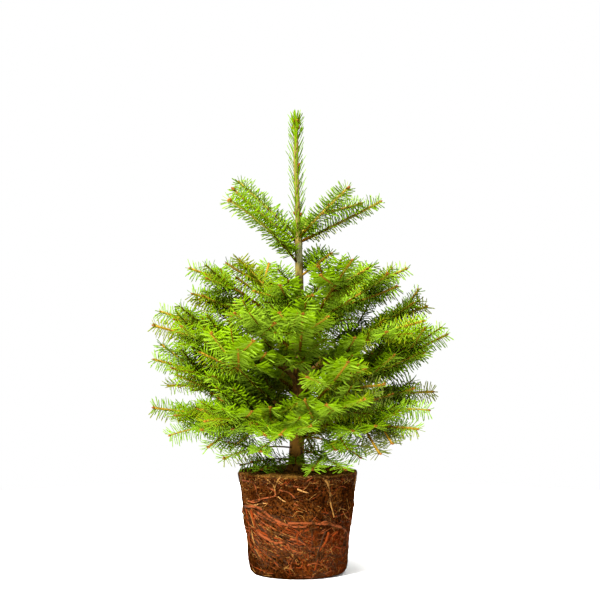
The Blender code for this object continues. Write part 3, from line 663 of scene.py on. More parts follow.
def arrays_of(shape):
    """The points, triangles and triangle normals of a bmesh, which is freed."""
    bmesh.ops.triangulate(shape, faces=shape.faces)
    bmesh.ops.recalc_face_normals(shape, faces=shape.faces)
    shape.verts.index_update()
    shape.normal_update()
    points = np.array([v.co[:] for v in shape.verts])
    faces = np.array([[v.index for v in f.verts] for f in shape.faces])
    normals = np.array([f.normal[:] for f in shape.faces])
    shape.free()
    return points, faces, normals


def repeated(faces, count, size):
    """The triangles of a shape for as many copies of it, each of the same number of points."""
    return (faces[None] + (np.arange(count) * size)[:, None, None]).reshape(-1, 3)


def prism(sides, steps):
    """A closed bmesh prism about Z, of radius 1, cut into even steps, and its points, each with its step."""
    shape = bmesh.new()
    bmesh.ops.create_cone(shape, cap_ends=True, segments=sides, radius1=1, radius2=1, depth=steps)
    long_edges = [e for e in shape.edges if abs(e.verts[0].co.z - e.verts[1].co.z) > 0.5]
    bmesh.ops.subdivide_edges(shape, edges=long_edges, cuts=steps - 1)
    return shape, [(vertex, round(vertex.co.z + steps / 2)) for vertex in shape.verts]


def order_faces(shape):
    """Sorts the faces by their points, because a spin gives them in another order in each session."""
    shape.verts.index_update()
    count = len(shape.verts)

    def rank(face):
        first, second, third = sorted(vertex.index for vertex in face.verts)[:3]
        return (first * count + second) * count + third

    shape.faces.sort(key=rank)


def rod(sides, stations):
    """A bmesh rod along +Z through stations of (height, half width, half thickness), closed at both ends."""
    shape, joints = prism(sides, len(stations) - 1)
    for vertex, step in joints:
        height, width, thickness = stations[step]
        vertex.co = (vertex.co.x * width, vertex.co.y * thickness, height)
    bmesh.ops.remove_doubles(shape, verts=shape.verts, dist=1e-6)
    return shape


def tubes(name, rows, bevel_resolution, materials):
    """Round limbs as one mesh. Each row is (points, radii, number of its material)."""
    curve = bpy.data.curves.new(name, "CURVE")
    curve.dimensions = "3D"
    curve.bevel_depth = 1.0
    curve.bevel_resolution = bevel_resolution
    curve.use_fill_caps = True
    for material in materials:
        curve.materials.append(material)
    for points, radii, slot in rows:
        spline = curve.splines.new("POLY")
        spline.points.add(len(points) - 1)
        spline.use_smooth = True
        spline.material_index = slot
        for spot, point, radius in zip(spline.points, points, radii):
            spot.co = (*point, 1)
            spot.radius = radius
    guide = add_object(f"{name}_guide", curve)
    bpy.context.view_layer.update()
    graph = bpy.context.evaluated_depsgraph_get()
    mesh = bpy.data.meshes.new_from_object(guide.evaluated_get(graph))
    bpy.data.objects.remove(guide)
    bpy.data.curves.remove(curve)
    shape = bmesh.new()
    shape.from_mesh(mesh)
    bmesh.ops.remove_doubles(shape, verts=shape.verts, dist=1e-6)
    for face in shape.faces:
        face.smooth = len(face.verts) == 4
    shape.to_mesh(mesh)
    shape.free()
    mesh.name = name
    return add_object(name, mesh)


# The rule of the source: lines, blades and room


def interpolate(pairs, x):
    """The value at x on a run of straight lines through pairs of x and value."""
    for (x0, v0), (x1, v1) in zip(pairs, pairs[1:]):
        if x <= x1:
            return v0 + (v1 - v0) * max(0.0, (x - x0) / (x1 - x0))
    return pairs[-1][1]


def compass(azimuth):
    """The level direction at an azimuth in degrees."""
    around = math.radians(azimuth)
    return Vector((math.cos(around), math.sin(around), 0))


def trunk_point(height):
    share = (height - TRUNK_FOOT) / (TRUNK_TIP - TRUNK_FOOT)
    return Vector((-0.004 + 0.007 * math.sin(math.pi * min(1.0, share * 1.15)), 0.003 * math.sin(5 * share), height))


def trunk_radius(height):
    swell = sum(KNUCKLE_SWELL * math.exp(-(((height - k) / KNUCKLE_REACH) ** 2)) for k in KNUCKLES)
    return interpolate(TRUNK_RADII, height) + swell


def limb_line(start, azimuth, length, rise_foot, rise_tip, steps=LIMB_STEPS):
    """Points along a limb whose rise changes evenly from its foot to its tip. Angles are in degrees."""
    points = [Vector(start)]
    heading = math.radians(azimuth)
    for i in range(steps):
        rise = math.radians(rise_foot + (rise_tip - rise_foot) * (i + 0.5) / steps)
        step = Vector((math.cos(rise) * math.cos(heading), math.cos(rise) * math.sin(heading), math.sin(rise)))
        points.append(points[-1] + step * (length / steps))
    return points


def line_at(line, distance):
    """The point and the direction at a distance along a line of evenly spaced points."""
    step = (line[1] - line[0]).length
    index = min(max(int(distance / step), 0), len(line) - 2)
    direction = (line[index + 1] - line[index]).normalized()
    return line[index] + direction * (distance - index * step), direction


def stretch_of(line, start, end, steps):
    return [line_at(line, start + (end - start) * i / steps)[0] for i in range(steps + 1)]


def line_length(line):
    return sum((b - a).length for a, b in zip(line, line[1:]))


def bent(line, pitch, yaw):
    """The same line turned more and more towards its tip, by up to these degrees upward and to the left."""
    if not (pitch or yaw):
        return line
    points = [line[0]]
    last = len(line) - 1
    for i, (start, end) in enumerate(zip(line, line[1:])):
        share = min(1.0, 1.6 * (i + 1) / last)
        step = end - start
        side = Vector((0, 0, 1)).cross(step).normalized()
        step = Matrix.Rotation(math.radians(-pitch * share), 3, side) @ step
        step = Matrix.Rotation(math.radians(yaw * share), 3, "Z") @ step
        points.append(points[-1] + step)
    return points


def frame_at(line, distance, roll):
    """The point, and the sideways, upward and forward directions of a shoot rolled about its line."""
    spot, forward = line_at(line, distance)
    side = Vector((0, 0, 1)).cross(forward).normalized()
    side = Matrix.Rotation(roll, 3, forward) @ side
    return spot, side, forward.cross(side), forward


def blade_stations(length, bare, reach, twig_foot):
    """The joints of a spray from its foot to its tip: (place, forward shift, reach of its needles)."""
    teeth = max(LEAST_TEETH, round((length - bare) / TOOTH_PITCH))
    pitch = (length - bare) / teeth
    stations = [(0.0, 0.0, twig_foot), (bare, 0.0, twig_foot)]
    for i in range(teeth):
        share = (i + 0.5) / teeth
        out = reach * min(1.0, 0.6 + 1.2 * share) * (1.0 - 0.4 * max(0.0, (share - 0.6) / 0.4))
        stations.append((bare + pitch * (i + 0.34), out * TOOTH_SWEEP, out))
        stations.append((bare + pitch * (i + 1.0), 0.0, out * NOTCH_SHARE if i < teeth - 1 else SHOOT_TIP_RADIUS))
    return stations


def blade_shape(line, length, bare, reach, twig_foot, roll, below, spare):
    """The room that a spray of needles takes, with a spare all round."""
    stations = blade_stations(length, bare, reach, twig_foot)
    shape, joints = prism(3, len(stations) - 1)
    for vertex, step in joints:
        place, shift, out = stations[step]
        spot, side, up, forward = frame_at(line, min(place, length), roll)
        spot += forward * shift
        if vertex.co.y > 0.9:
            vertex.co = spot + up * (out * (TOP_SHARE if out > 0.006 else 1.2) + spare)
        else:
            lower = min(out * 0.75, below)
            vertex.co = spot + side * math.copysign(out + spare, vertex.co.x) - up * (lower + spare)
    bmesh.ops.remove_doubles(shape, verts=shape.verts, dist=1e-6)
    bmesh.ops.triangulate(shape, faces=shape.faces)
    bmesh.ops.recalc_face_normals(shape, faces=shape.faces)
    return shape


def box_of(shape):
    corners = [v.co for v in shape.verts]
    low = Vector(min(c[i] for c in corners) for i in range(3))
    return low, Vector(max(c[i] for c in corners) for i in range(3))


class Room:
    """The solids placed so far, so that no spray reaches into another node."""

    def __init__(self):
        self.placed = []

    def add(self, node, shape):
        self.placed.append((node, BVHTree.FromBMesh(shape), *box_of(shape)))

    def add_object(self, node, thing):
        shape = bmesh.new()
        shape.from_mesh(thing.data)
        self.add(node, shape)
        shape.free()

    def is_free(self, shape, ignored):
        tree = BVHTree.FromBMesh(shape)
        low, high = box_of(shape)
        for node, other, other_low, other_high in self.placed:
            apart = any(low[i] > other_high[i] or high[i] < other_low[i] for i in range(3))
            if node not in ignored and not apart and tree.overlap(other):
                return False
        return True


class Shoot:
    """One shoot: its line, where its needles start, the radius of its foot, and its roll in radians."""

    def __init__(self, line, bare, twig_foot, roll=0.0, hands=(1, -1), below=BLADE_BELOW, lift=LIFT, age=0):
        self.line, self.bare, self.twig_foot, self.roll = line, bare, twig_foot, roll
        self.hands, self.below, self.lift, self.age = hands, below, lift, age
        self.length = line_length(line)
        self.grown = self.length

    def shape(self, length, spare=0.0, turn=0.0):
        reach = BLADE_REACH * (0.7 + 0.3 * min(1.0, self.length / 0.1))
        return blade_shape(self.line, length, self.bare, reach, self.twig_foot, self.roll + turn, self.below, spare)

    def fitted(self, room, ignored):
        """Bends, rolls or shortens the shoot until it is clear of its neighbours, and gives its shape or None."""
        straight = self.line
        for scale in SHORTENED:
            length = self.length * scale
            if length < SHORTEST_SHOOT:
                break
            for pitch, yaw in BENDS:
                self.line = bent(straight, pitch, yaw)
                for turn in ROLLS:
                    wide = self.shape(length, NEIGHBOUR_GAP, turn)
                    free = room.is_free(wide, ignored)
                    wide.free()
                    if free:
                        self.roll += turn
                        self.grown = length
                        return self.shape(length)
        self.line = straight
        return None


def side_shoot(parent, distance, turn, tilt, length):
    """A shoot that leaves its parent at a turn to the left or right of it."""
    spot, forward = line_at(parent.line, distance)
    heading = math.degrees(math.atan2(forward.y, forward.x))
    rise = math.degrees(math.asin(forward.z)) * math.cos(math.radians(turn)) + tilt
    line = limb_line(spot, heading + turn, length, rise, rise + SIDE_RISE, SIDE_STEPS)
    return Shoot(line, SIDE_BARE_SHARE * length, SIDE_TWIG_RADIUS, math.radians(SIDE_ROLL * turn), lift=parent.lift,
                 age=parent.age + 1)


def yearly_nodes(parent, lowest):
    """The yearly nodes of a long shoot from its tip down, each with the length of a side shoot there."""
    place = parent.length - LAST_GROWTH * min(1.0, parent.length / FULL_SHOOT)
    span = FIRST_SIDE_SHOOT * min(1.0, parent.length / FULL_SPREAD)
    while place > lowest and parent.length > LEAST_PARENT:
        yield place, span
        place -= EARLIER_GROWTH
        span += OLDER_SIDE_SHOOT


def side_shoots(parent, rng):
    """The side shoots of a shoot by rule: a pair at each year's node, longer the older the node is."""
    found = []
    for place, span in yearly_nodes(parent, PAIR_NODE):
        for hand in parent.hands:
            angle = hand * rng.uniform(*PAIR_ANGLE)
            found.append(side_shoot(parent, place + rng.uniform(*PAIR_SCATTER), angle, rng.uniform(*parent.lift),
                                    span * rng.uniform(*PAIR_SPAN)))
    return found


def trunk_limb(azimuth, foot, length, rise_foot, rise_tip):
    """The line of a limb that starts inside the trunk's bark."""
    start = trunk_point(foot) + STEM_INSET * trunk_radius(foot) * compass(azimuth)
    return limb_line(start, azimuth, length, rise_foot, rise_tip)


def whorl_boughs():
    """Every bough or stem: its name, whether a bare bough carries it, and its line from the trunk's bark."""
    for whorl, rows in WHORLS.items():
        for row in rows:
            name = f"{whorl}_{row[0]}"
            yield name, whorl in BOUGHED_WHORLS and name not in WITHOUT_BOUGH, trunk_limb(*row)


def stem_of(name, boughed, line):
    """The shoot that carries on a bough from its end, or that leaves the trunk by itself."""
    length = line_length(line)
    whorl = name.split("_")[0]
    lift = WHORL_LIFT.get(whorl, LIFT)
    if boughed:
        return Shoot(stretch_of(line, BARE_BOUGH + CLEARANCE, length, LIMB_STEPS), *BOUGH_STEM, lift=lift)
    if name in YOUNG:
        return Shoot(line, *YOUNG_STEM, hands=YOUNG[name], below=YOUNG_BELOW, lift=YOUNG_LIFT)
    bare, foot = SHORT_STEM if length < LONG_STEM_FROM else LONG_STEM
    if whorl == "low":
        bare = BARE_LOW_SHARE * length
    return Shoot(line, bare, foot, hands=ONE_SIDED.get(name, (1, -1)), lift=lift)


@functools.lru_cache(maxsize=None)
def grown_shoots():
    """Every shoot of the crown as (whorl, shoot). The ones with no room in the solids come shorter, as fine twigs."""
    room = Room()
    for name in ("root_ball", "trunk", "leader_foliage"):
        room.add_object(name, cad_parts[name])
    for name, boughed, _ in whorl_boughs():
        if boughed:
            room.add_object(f"bough_{name}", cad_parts[f"bough_{name}"])
    masses, grown = [], []
    for name, boughed, line in whorl_boughs():
        node = f"foliage_{name}"
        stem = stem_of(name, boughed, line)
        shape = stem.fitted(room, {"trunk", f"bough_{name}"})
        if shape is None:
            raise RuntimeError(f"no room for {node}")
        room.add(node, shape)
        shape.free()
        whorl = name.split("_")[0]
        masses.append((node, whorl, [stem]))
        grown.append((whorl, stem))
    for branching in range(2):
        for node, whorl, shoots in masses:
            rng = random.Random(f"{SEED} {node} {branching}")
            newest = [shoot for parent in shoots for shoot in side_shoots(parent, rng)]
            shoots.clear()
            for shoot in newest:
                shape = shoot.fitted(room, {node})
                if shape is not None:
                    room.add(node, shape)
                    shape.free()
                    shoots.append(shoot)
                else:
                    shoot.grown = NO_ROOM_SHARE * shoot.length
                    shoot.age += 1
                grown.append((whorl, shoot))
    return tuple(grown) + tuple(fine_twigs(grown))


def node_twigs(whorl, parent, rng):
    """The fine twigs of one shoot: above and below its pairs of side shoots, between them, or a single one."""
    rises, falls = FINE_TWIGS[whorl]
    lower = whorl == "lower"
    hand = rng.choice((1, -1))
    if parent.length <= LEAST_PARENT and rng.random() < SINGLE_SHARE:
        yield side_shoot(parent, SINGLE_PLACE * parent.grown, hand * rng.uniform(*SINGLE_TURN),
                         rng.uniform(*SINGLE_TILT), rng.uniform(*SINGLE_SPAN) * parent.grown)
    for place, span in yearly_nodes(parent, FINE_NODE):
        rows = [(hand * rng.uniform(*RISE_TURN), rng.uniform(*rises), RISE_SPAN),
                (-hand * rng.uniform(*FALL_TURN), rng.uniform(*falls), FALL_SPAN)]
        for turn, tilt, share in rows:
            if lower and place < LOWER_FALL_NODE and tilt < 0:
                continue
            yield side_shoot(parent, place + rng.uniform(*NODE_SCATTER), turn, tilt,
                             share * span * rng.uniform(*SPAN_SCATTER))
        middle = place - 0.5 * EARLIER_GROWTH
        if middle > (LOWER_MIDDLE_NODE if lower else FINE_NODE):
            yield side_shoot(parent, middle, -hand * rng.uniform(*MIDDLE_TURN), rng.uniform(*rises),
                             MIDDLE_SPAN * span)
        hand = -hand


def bough_twigs(name, line):
    """The fine twigs of a bare bough."""
    rng = random.Random(f"{SEED} inside {name}")
    bough = Shoot(line, 0.0, BOUGH_FOOT_RADIUS)
    for place in BOUGH_TWIGS:
        yield side_shoot(bough, place, rng.choice((1, -1)) * rng.uniform(*BOUGH_TWIG_TURN),
                         rng.uniform(*BOUGH_TWIG_TILT), rng.uniform(*BOUGH_TWIG_SPAN))


def fine_twigs(grown):
    """The twigs that only the scene carries: fine ones on the shoots, boughs and trunk, and some long forks."""
    found = []
    for number, (whorl, parent) in enumerate(grown):
        if whorl in FINE_TWIGS and parent.grown >= FINE_PARENT:
            rng = random.Random(f"{SEED} fine {number}")
            found += [(whorl, twig) for twig in node_twigs(whorl, parent, rng)]
    limbs = tuple(whorl_boughs())
    for name, boughed, line in limbs:
        if boughed:
            found += [(name.split("_")[0], twig) for twig in bough_twigs(name, line)]
    for whorl, *row in TRUNK_TWIGS:
        found.append((whorl, Shoot(trunk_limb(*row), 0.010, SIDE_TWIG_RADIUS)))
    for _, twig in found:
        twig.age = FINE_AGE
    stems = {name: stem for (name, _, _), (_, stem) in zip(limbs, grown)}
    for name, *row in FORK_TWIGS:
        found.append((name.split("_")[0], side_shoot(stems[name], *row)))
    return found


def shown_shoots():
    """Every shoot with its number, without the fine twigs whose tips would close an opening."""
    rows = []
    for number, (whorl, shoot) in enumerate(grown_shoots()):
        tip = shoot.line[-1]
        if shoot.age < FINE_AGE or all(math.hypot(tip.x - x, tip.z - z) > radius for x, z, radius in OPENINGS):
            rows.append((number, whorl, shoot))
    return rows


# Needles


class NeedleBed:
    """The needles of one piece, gathered shoot by shoot."""

    def __init__(self):
        self.rows = []

    def add(self, roots, directions, ups, lengths, widths, bends, slots, under):
        """Takes arrays with a row for each needle, and the materials of its upper and lower faces, one or a row."""
        count = len(roots)
        self.rows.append((roots, directions, ups, lengths, widths, bends, np.broadcast_to(slots, count),
                          np.broadcast_to(under, count)))

    def build(self, name, materials):
        """Each needle is a three sided rod: flat below, with a ridge on top and a blunt end, and lifted a little."""
        points, faces, normals = arrays_of(rod(3, NEEDLE_JOINTS))
        below = (normals[:, 1] < -0.5)[None, :]
        roots, directions, ups, lengths, widths, bends, slots, under = (np.concatenate(c) for c in zip(*self.rows))
        sides = np.cross(ups, directions)
        along = points[None, :, 2:3] * lengths[:, None, None]
        across = points[None, :, 0:1] * widths[:, None, None] * 0.5
        lift = (points[None, :, 1:2] * widths[:, None, None] * 0.5
                + bends[:, None, None] * points[None, :, 2:3] ** 2 * lengths[:, None, None])
        placed = (roots[:, None, :] + along * directions[:, None, :] + across * sides[:, None, :]
                  + lift * ups[:, None, :])
        all_slots = np.where(below, under[:, None], slots[:, None]).ravel()
        return joined(name, placed.reshape(-1, 3), repeated(faces, len(roots), len(points)), all_slots, materials)


def needle_materials():
    """The finishes of the tints, and of the two undersides."""
    needles = settings("fir_needles")
    faces = [plain(f"{tint}_needle", tuple(getattr(needles, tint)), 0.5, 0.015) for tint in NEEDLE_TINTS]
    return faces + [plain(name, tuple(getattr(needles, name)), 0.6, 0.0) for name in ("underside", "pale_underside")]


def unit(vectors):
    return vectors / np.linalg.norm(vectors, axis=-1, keepdims=True)


def shoot_frames(shoot, places):
    """Arrays of the point and the sideways, upward and forward directions of a shoot at many places."""
    rows = [frame_at(shoot.line, float(min(place, shoot.length)), shoot.roll) for place in places]
    return tuple(np.array([row[i][:] for row in rows]) for i in range(4))


def turned(first, second, angle):
    """The first of two square directions turned towards the second."""
    return first * np.cos(angle) + second * np.sin(angle)


def outward_lean(spot, side, aside):
    """How far the parting leans outward on a shoot that points to the side, in radians."""
    outward = -1.0 if spot[1] < LEAN_BACK else 1.0
    share = max(0.0, (aside - LEAN_FROM) / (1 - LEAN_FROM))
    return math.radians(PARTING_LEAN * share) * outward * np.sign(side[1])


def clothe(bed, shoot, start, end, spacing, tint, under, rng, young=False, tip=True):
    """Sets needles along a shoot: short ones that lean forward by the parting, and long ones at the sides.

    A shoot has none straight below it. Young shoots have upright needles of one length and no lean.
    """
    needles = settings("fir_needles")
    count = max(4, int((end - start) / spacing))
    places = start + (end - start) * (np.arange(count) + rng.random(count)) / count
    spots, sides, ups, forwards = shoot_frames(shoot, places)
    turn = (np.arange(count) * GOLDEN_ANGLE + 360 * rng.random()) % 360.0
    turn = np.where(turn > 180, turn - 360, turn)
    aside = abs(forwards[count // 2][0])
    highest, lowest = YOUNG_AROUND
    if not young:
        lean = outward_lean(spots[count // 2], sides[count // 2], aside)
        ups, sides = turned(ups, sides, lean), turned(sides, -ups, lean)
        highest, lowest = PARTING + PARTING_ASIDE * aside, rng.uniform(*LOWEST) + LOWEST_ASIDE * aside
    share = (np.abs(turn) / 180.0) ** 0.9
    around = np.radians(highest + (lowest - highest) * share + rng.normal(0, AROUND_SCATTER, count))
    around = around * np.sign(turn)
    degrees = np.degrees(np.abs(around))
    wide = np.clip(degrees / SIDE_NEEDLE, 0, 1)
    to_tip = np.clip((end - places) / END_REACH, 0, 1) if tip else np.ones(count)
    at_foot = np.clip((places - start) / END_REACH, 0, 1)
    angle = YOUNG_ANGLE if young else TOP_ANGLE
    angle = (angle + (SIDE_ANGLE - angle) * wide) * (TIP_CLOSED + (1 - TIP_CLOSED) * to_tip)
    angle = np.radians(angle + rng.normal(0, ANGLE_SCATTER, count))[:, None]
    out = turned(ups, sides, around[:, None])
    directions = unit(turned(forwards, out, angle))
    top = ups * FACE_UP - forwards * FACE_BACK + out * FACE_OUT
    top = unit(top - directions * np.sum(top * directions, axis=1, keepdims=True))
    top = turned(top, np.cross(directions, top), np.radians(rng.normal(0, NEEDLE_TWIST, count))[:, None])
    shortest = needles.side_length if young else needles.top_length
    lengths = shortest + (needles.side_length - shortest) * wide ** 0.8
    lengths = lengths * rng.normal(1.0, LENGTH_SCATTER, count).clip(0.7, 1.2)
    lengths = lengths * (TIP_SHORT + (1 - TIP_SHORT) * to_tip) * (FOOT_SHORT + (1 - FOOT_SHORT) * at_foot)
    radii = np.array([twig_radius(shoot, place) for place in places])
    # Painted shade: the lower rows of needles take the next deeper tint, or keep the painted shade tint.
    slots = np.where(degrees > PAINTED_SHADE_BELOW, PAINTED_SHADE if tint == PAINTED_SHADE else min(tint + 1, DEEP), tint)
    unders = np.where((degrees > PALE_BELOW) & (under == UNDERSIDE), PALE_UNDERSIDE, under)
    bed.add(spots + out * radii[:, None] * ROOTED, directions, top, lengths,
            needles.width * rng.normal(1.0, WIDTH_SCATTER, count), rng.normal(*NEEDLE_BEND, count), slots, unders)


def twig_radius(shoot, place):
    """The radius of a shoot's twig: it tapers from its foot to the thickness of a last year's shoot."""
    thin = settings("fir_twigs").radius
    thick = max(thin, {0: shoot.twig_foot, 1: FORK_RADIUS}.get(shoot.age, SIDE_TWIG_RADIUS))
    if shoot.line[-1].z > TOP_SHOOTS:
        thick, thin = TOP_TWIG_RADII
    elif shoot.line[0].z < LOW_SHOOTS:
        thick, thin = LOW_TWIG_RADII
    if shoot.age == FINE_AGE:
        thin = FINE_TWIG_RADIUS
    return thick + (thin - thick) * min(1.0, place / max(shoot.grown * TWIG_TAPER, 1e-6))


def tint_of(whorl, shoot, rng):
    """Deals a tint to a shoot: brighter for young outer ones and deeper for fine twigs inside. By where its tip is,
    deeper tints are dealt as painted shade at the back, under the crown and low at the back, and the painted shade tint
    low on the right.
    """
    tip = shoot.line[-1]
    parts = {"back": tip.y > 0.10, "top": whorl in ("top", "inner"), "low front": whorl == "low" and tip.y < 0.02,
             "low back": whorl == "low", "low right": tip.x > 0.12 and tip.z < 0.40,
             "under": tip.z < 0.33 and math.hypot(tip.x, tip.y) < 0.13, "hem": tip.z < 0.31, "left": tip.x < -0.14}
    weights = next((PLACE_TINTS[part] for part, holds in parts.items() if holds), AGE_TINTS[shoot.age])
    return rng.choices(range(len(NEEDLE_TINTS)), weights)[0]


def bare_of(shoot):
    """How far along a shoot the old bare wood near the trunk reaches."""
    place = 0.0
    while place < shoot.grown - 0.03 and math.hypot(*line_at(shoot.line, place)[0][:2]) <= BARE_WOOD:
        place += 0.004
    return place


def needle_spans(whorl, shoot):
    """Where a shoot's needles start, where those of its last year start, and where they end."""
    end = shoot.grown - NEEDLE_END
    if shoot.age == 0:
        foot = shoot.bare * (1.0 if whorl == "low" and shoot.length > 0.1 else 0.3)
        return foot + (0.014 if whorl in ("top", "inner") else 0), max(shoot.bare, end - LAST_GROWTH), end
    start = shoot.bare * 0.4
    if shoot.age == FINE_AGE and whorl != "inner" and math.hypot(*shoot.line[-1][:2]) > BARE_REACH:
        start = max(start, bare_of(shoot))
    return start, start, end


# Root ball


def ball_radius(height):
    """The radius of the tapered ball at a height, with its rounded rim and foot."""
    share = height / BALL_HEIGHT
    radius = BALL_FOOT_RADIUS + (BALL_RIM_RADIUS - BALL_FOOT_RADIUS) * share
    from_foot = max(0.0, BALL_FOOT_ROUNDING - height)
    from_rim = max(0.0, BALL_RIM_ROUNDING - (BALL_HEIGHT - height))
    radius -= BALL_FOOT_ROUNDING - math.sqrt(BALL_FOOT_ROUNDING**2 - from_foot**2)
    radius -= BALL_RIM_ROUNDING - math.sqrt(BALL_RIM_ROUNDING**2 - from_rim**2)
    return radius


def ball_axis(height):
    return BALL_LEAN * height / BALL_HEIGHT


def side_lump(point):
    """How far the lumps of the solid ball stand out of its side at a point."""
    fade = min(1.0, point.z / 0.02)
    rough = noise.noise(point * 22) + 0.6 * noise.noise(point * 55 + Vector((7, 3, 1)))
    return SIDE_LUMP * fade * rough


def ball_surface(azimuth, height):
    """The point on the side of the ball at an azimuth in degrees and a height, and the way out of it."""
    outward = compass(azimuth)
    height = min(max(height, 0.002), BALL_HEIGHT - 0.001)
    point = outward * ball_radius(height) + Vector((ball_axis(height), 0, height))
    return point + outward * side_lump(point), outward


def crumbs(point):
    """Fine relief of the soil, from -1 to 1: lumps, crumbs and pits."""
    lumps = noise.noise(point * 85)
    fine = noise.noise(point * 210 + Vector((3, 9, 4)))
    pits = -abs(noise.noise(point * 130 + Vector((11, 2, 6))))
    return 0.55 * lumps + 0.4 * fine + 0.7 * (pits + 0.25)


def eased(points, steps):
    """A smooth run through the points, as many steps between each pair."""
    found = []
    ends = [points[0], *points, points[-1]]
    for a, b, c, d in zip(ends, ends[1:], ends[2:], ends[3:]):
        for i in range(steps):
            t = i / steps
            found.append(tuple(0.5 * (2 * q + (r - p) * t + (2 * p - 5 * q + 4 * r - s) * t**2
                                      + (3 * q - p - 3 * r + s) * t**3) for p, q, r, s in zip(a, b, c, d)))
    return found + [tuple(points[-1])]


def root_row(path, radius, tint, rng):
    """One root along azimuths and heights, half sunk in the side of the ball and waving in and out of it."""
    points, radii = [], []
    spots = eased(path, 5)
    last = len(spots) - 1
    phase = rng.uniform(0, 6)
    for i, (azimuth, height) in enumerate(spots):
        spot, outward = ball_surface(azimuth, height / 1000)
        share = i / last
        ride = ROOT_RIDE + ROOT_WAVE * math.sin(phase + share * 7)
        buried = outward * radius * ROOT_BURIED if i in (0, last) else Vector()
        points.append(spot + outward * radius * ride - buried)
        radii.append(radius * (1.08 - 0.5 * share) * (1 + 0.12 * math.sin(phase * 3 + i * 1.9)))
    return points, radii, ROOT_TINTS.index(tint)


def bunch_rows(rng):
    """The finer roots in their bunches, each along three spots."""
    rows = []
    for count, azimuths, heights, sweeps, drops, radii, tints in ROOT_BUNCHES:
        for _ in range(count):
            azimuth, height = rng.uniform(*azimuths), rng.uniform(*heights)
            sweep, drop = rng.uniform(*sweeps), rng.uniform(*drops)
            middle = (azimuth + sweep * 0.5 + rng.uniform(-5, 5), height - drop * 0.5 + rng.uniform(-8, 8))
            path = ((azimuth, height), middle, (azimuth + sweep, height - drop))
            path = tuple((a, min(max(h, 5), 204)) for a, h in path)
            rows.append(root_row(path, rng.uniform(*radii) / 1000, rng.choice(tints), rng))
    return rows


# Operators


class FIR_OT_soil(bpy.types.Operator):
    """Turn the soil of the root ball and raise its lumps, crumbs and pits"""

    bl_idname = "fir.soil"
    bl_label = "Root ball soil"
    bl_options = {"REGISTER", "UNDO"}

    def execute(self, context):
        shape = bmesh.new()
        side = [BALL_HEIGHT * i / SIDE_RINGS for i in range(SIDE_RINGS, -1, -1)]
        profile = [(BALL_RIM_RADIUS * i / TOP_RINGS, BALL_HEIGHT) for i in range(TOP_RINGS - 3)]
        profile += [(ball_radius(height), height) for height in side]
        profile += [(BALL_FOOT_RADIUS * share, 0.0) for share in (0.8, 0.5, 0.2, 0.0)]
        spots = [shape.verts.new((x, 0, z)) for x, z in profile]
        edges = [shape.edges.new(pair) for pair in zip(spots, spots[1:])]
        bmesh.ops.spin(shape, geom=spots + edges, cent=(0, 0, 0), axis=(0, 0, 1), angle=2 * math.pi,
                       steps=BALL_STEPS, use_merge=True)
        bmesh.ops.remove_doubles(shape, verts=shape.verts, dist=1e-5)
        bmesh.ops.recalc_face_normals(shape, faces=shape.faces)
        order_faces(shape)
        relief = settings("fir_ball").relief
        for vertex in shape.verts:
            self.shift(vertex, relief)
        for face in shape.faces:
            face.smooth = True
        mesh = bpy.data.meshes.new("soil")
        shape.to_mesh(mesh)
        shape.free()
        mesh.materials.append(soil_material())
        finish(add_object("soil", mesh), ["root_ball"])
        return {"FINISHED"}

    @staticmethod
    def shift(vertex, relief):
        """Moves a point of the plain ball out by its lumps and crumbs. The foot and the spot round the trunk stay."""
        spot = vertex.co
        from_axis = math.hypot(spot.x, spot.y)
        outward = Vector((spot.x, spot.y, 0)) / max(from_axis, 1e-9)
        if spot.z > BALL_HEIGHT - 1e-5:
            level = min(1.0, max(0.0, (from_axis - LEVEL_RADIUS * 0.6) / 0.02))
            spot.z += level * TOP_LUMP * (noise.noise(spot * 38) - 0.25) + relief * 1.2 * crumbs(spot)
        elif spot.z > 1e-5:
            leaned = spot + Vector((ball_axis(spot.z), 0, 0))
            fade = min(1.0, spot.z / 0.006)
            spot += outward * (side_lump(leaned) + fade * relief * crumbs(leaned))
        spot.x += ball_axis(spot.z)


class FIR_OT_roots(bpy.types.Operator):
    """Lay the roots on the side of the ball, the thick ones where they show and finer ones in bunches"""

    bl_idname = "fir.roots"
    bl_label = "Roots"
    bl_options = {"REGISTER", "UNDO"}

    def execute(self, context):
        rng = random.Random(settings("fir_stage").seed)
        rows = [root_row(path, radius / 1000, tint, rng) for radius, tint, path in FRONT_ROOTS]
        rows += bunch_rows(rng)
        finish(tubes("roots", rows, 1, [root_material(tint) for tint in ROOT_TINTS]))
        return {"FINISHED"}


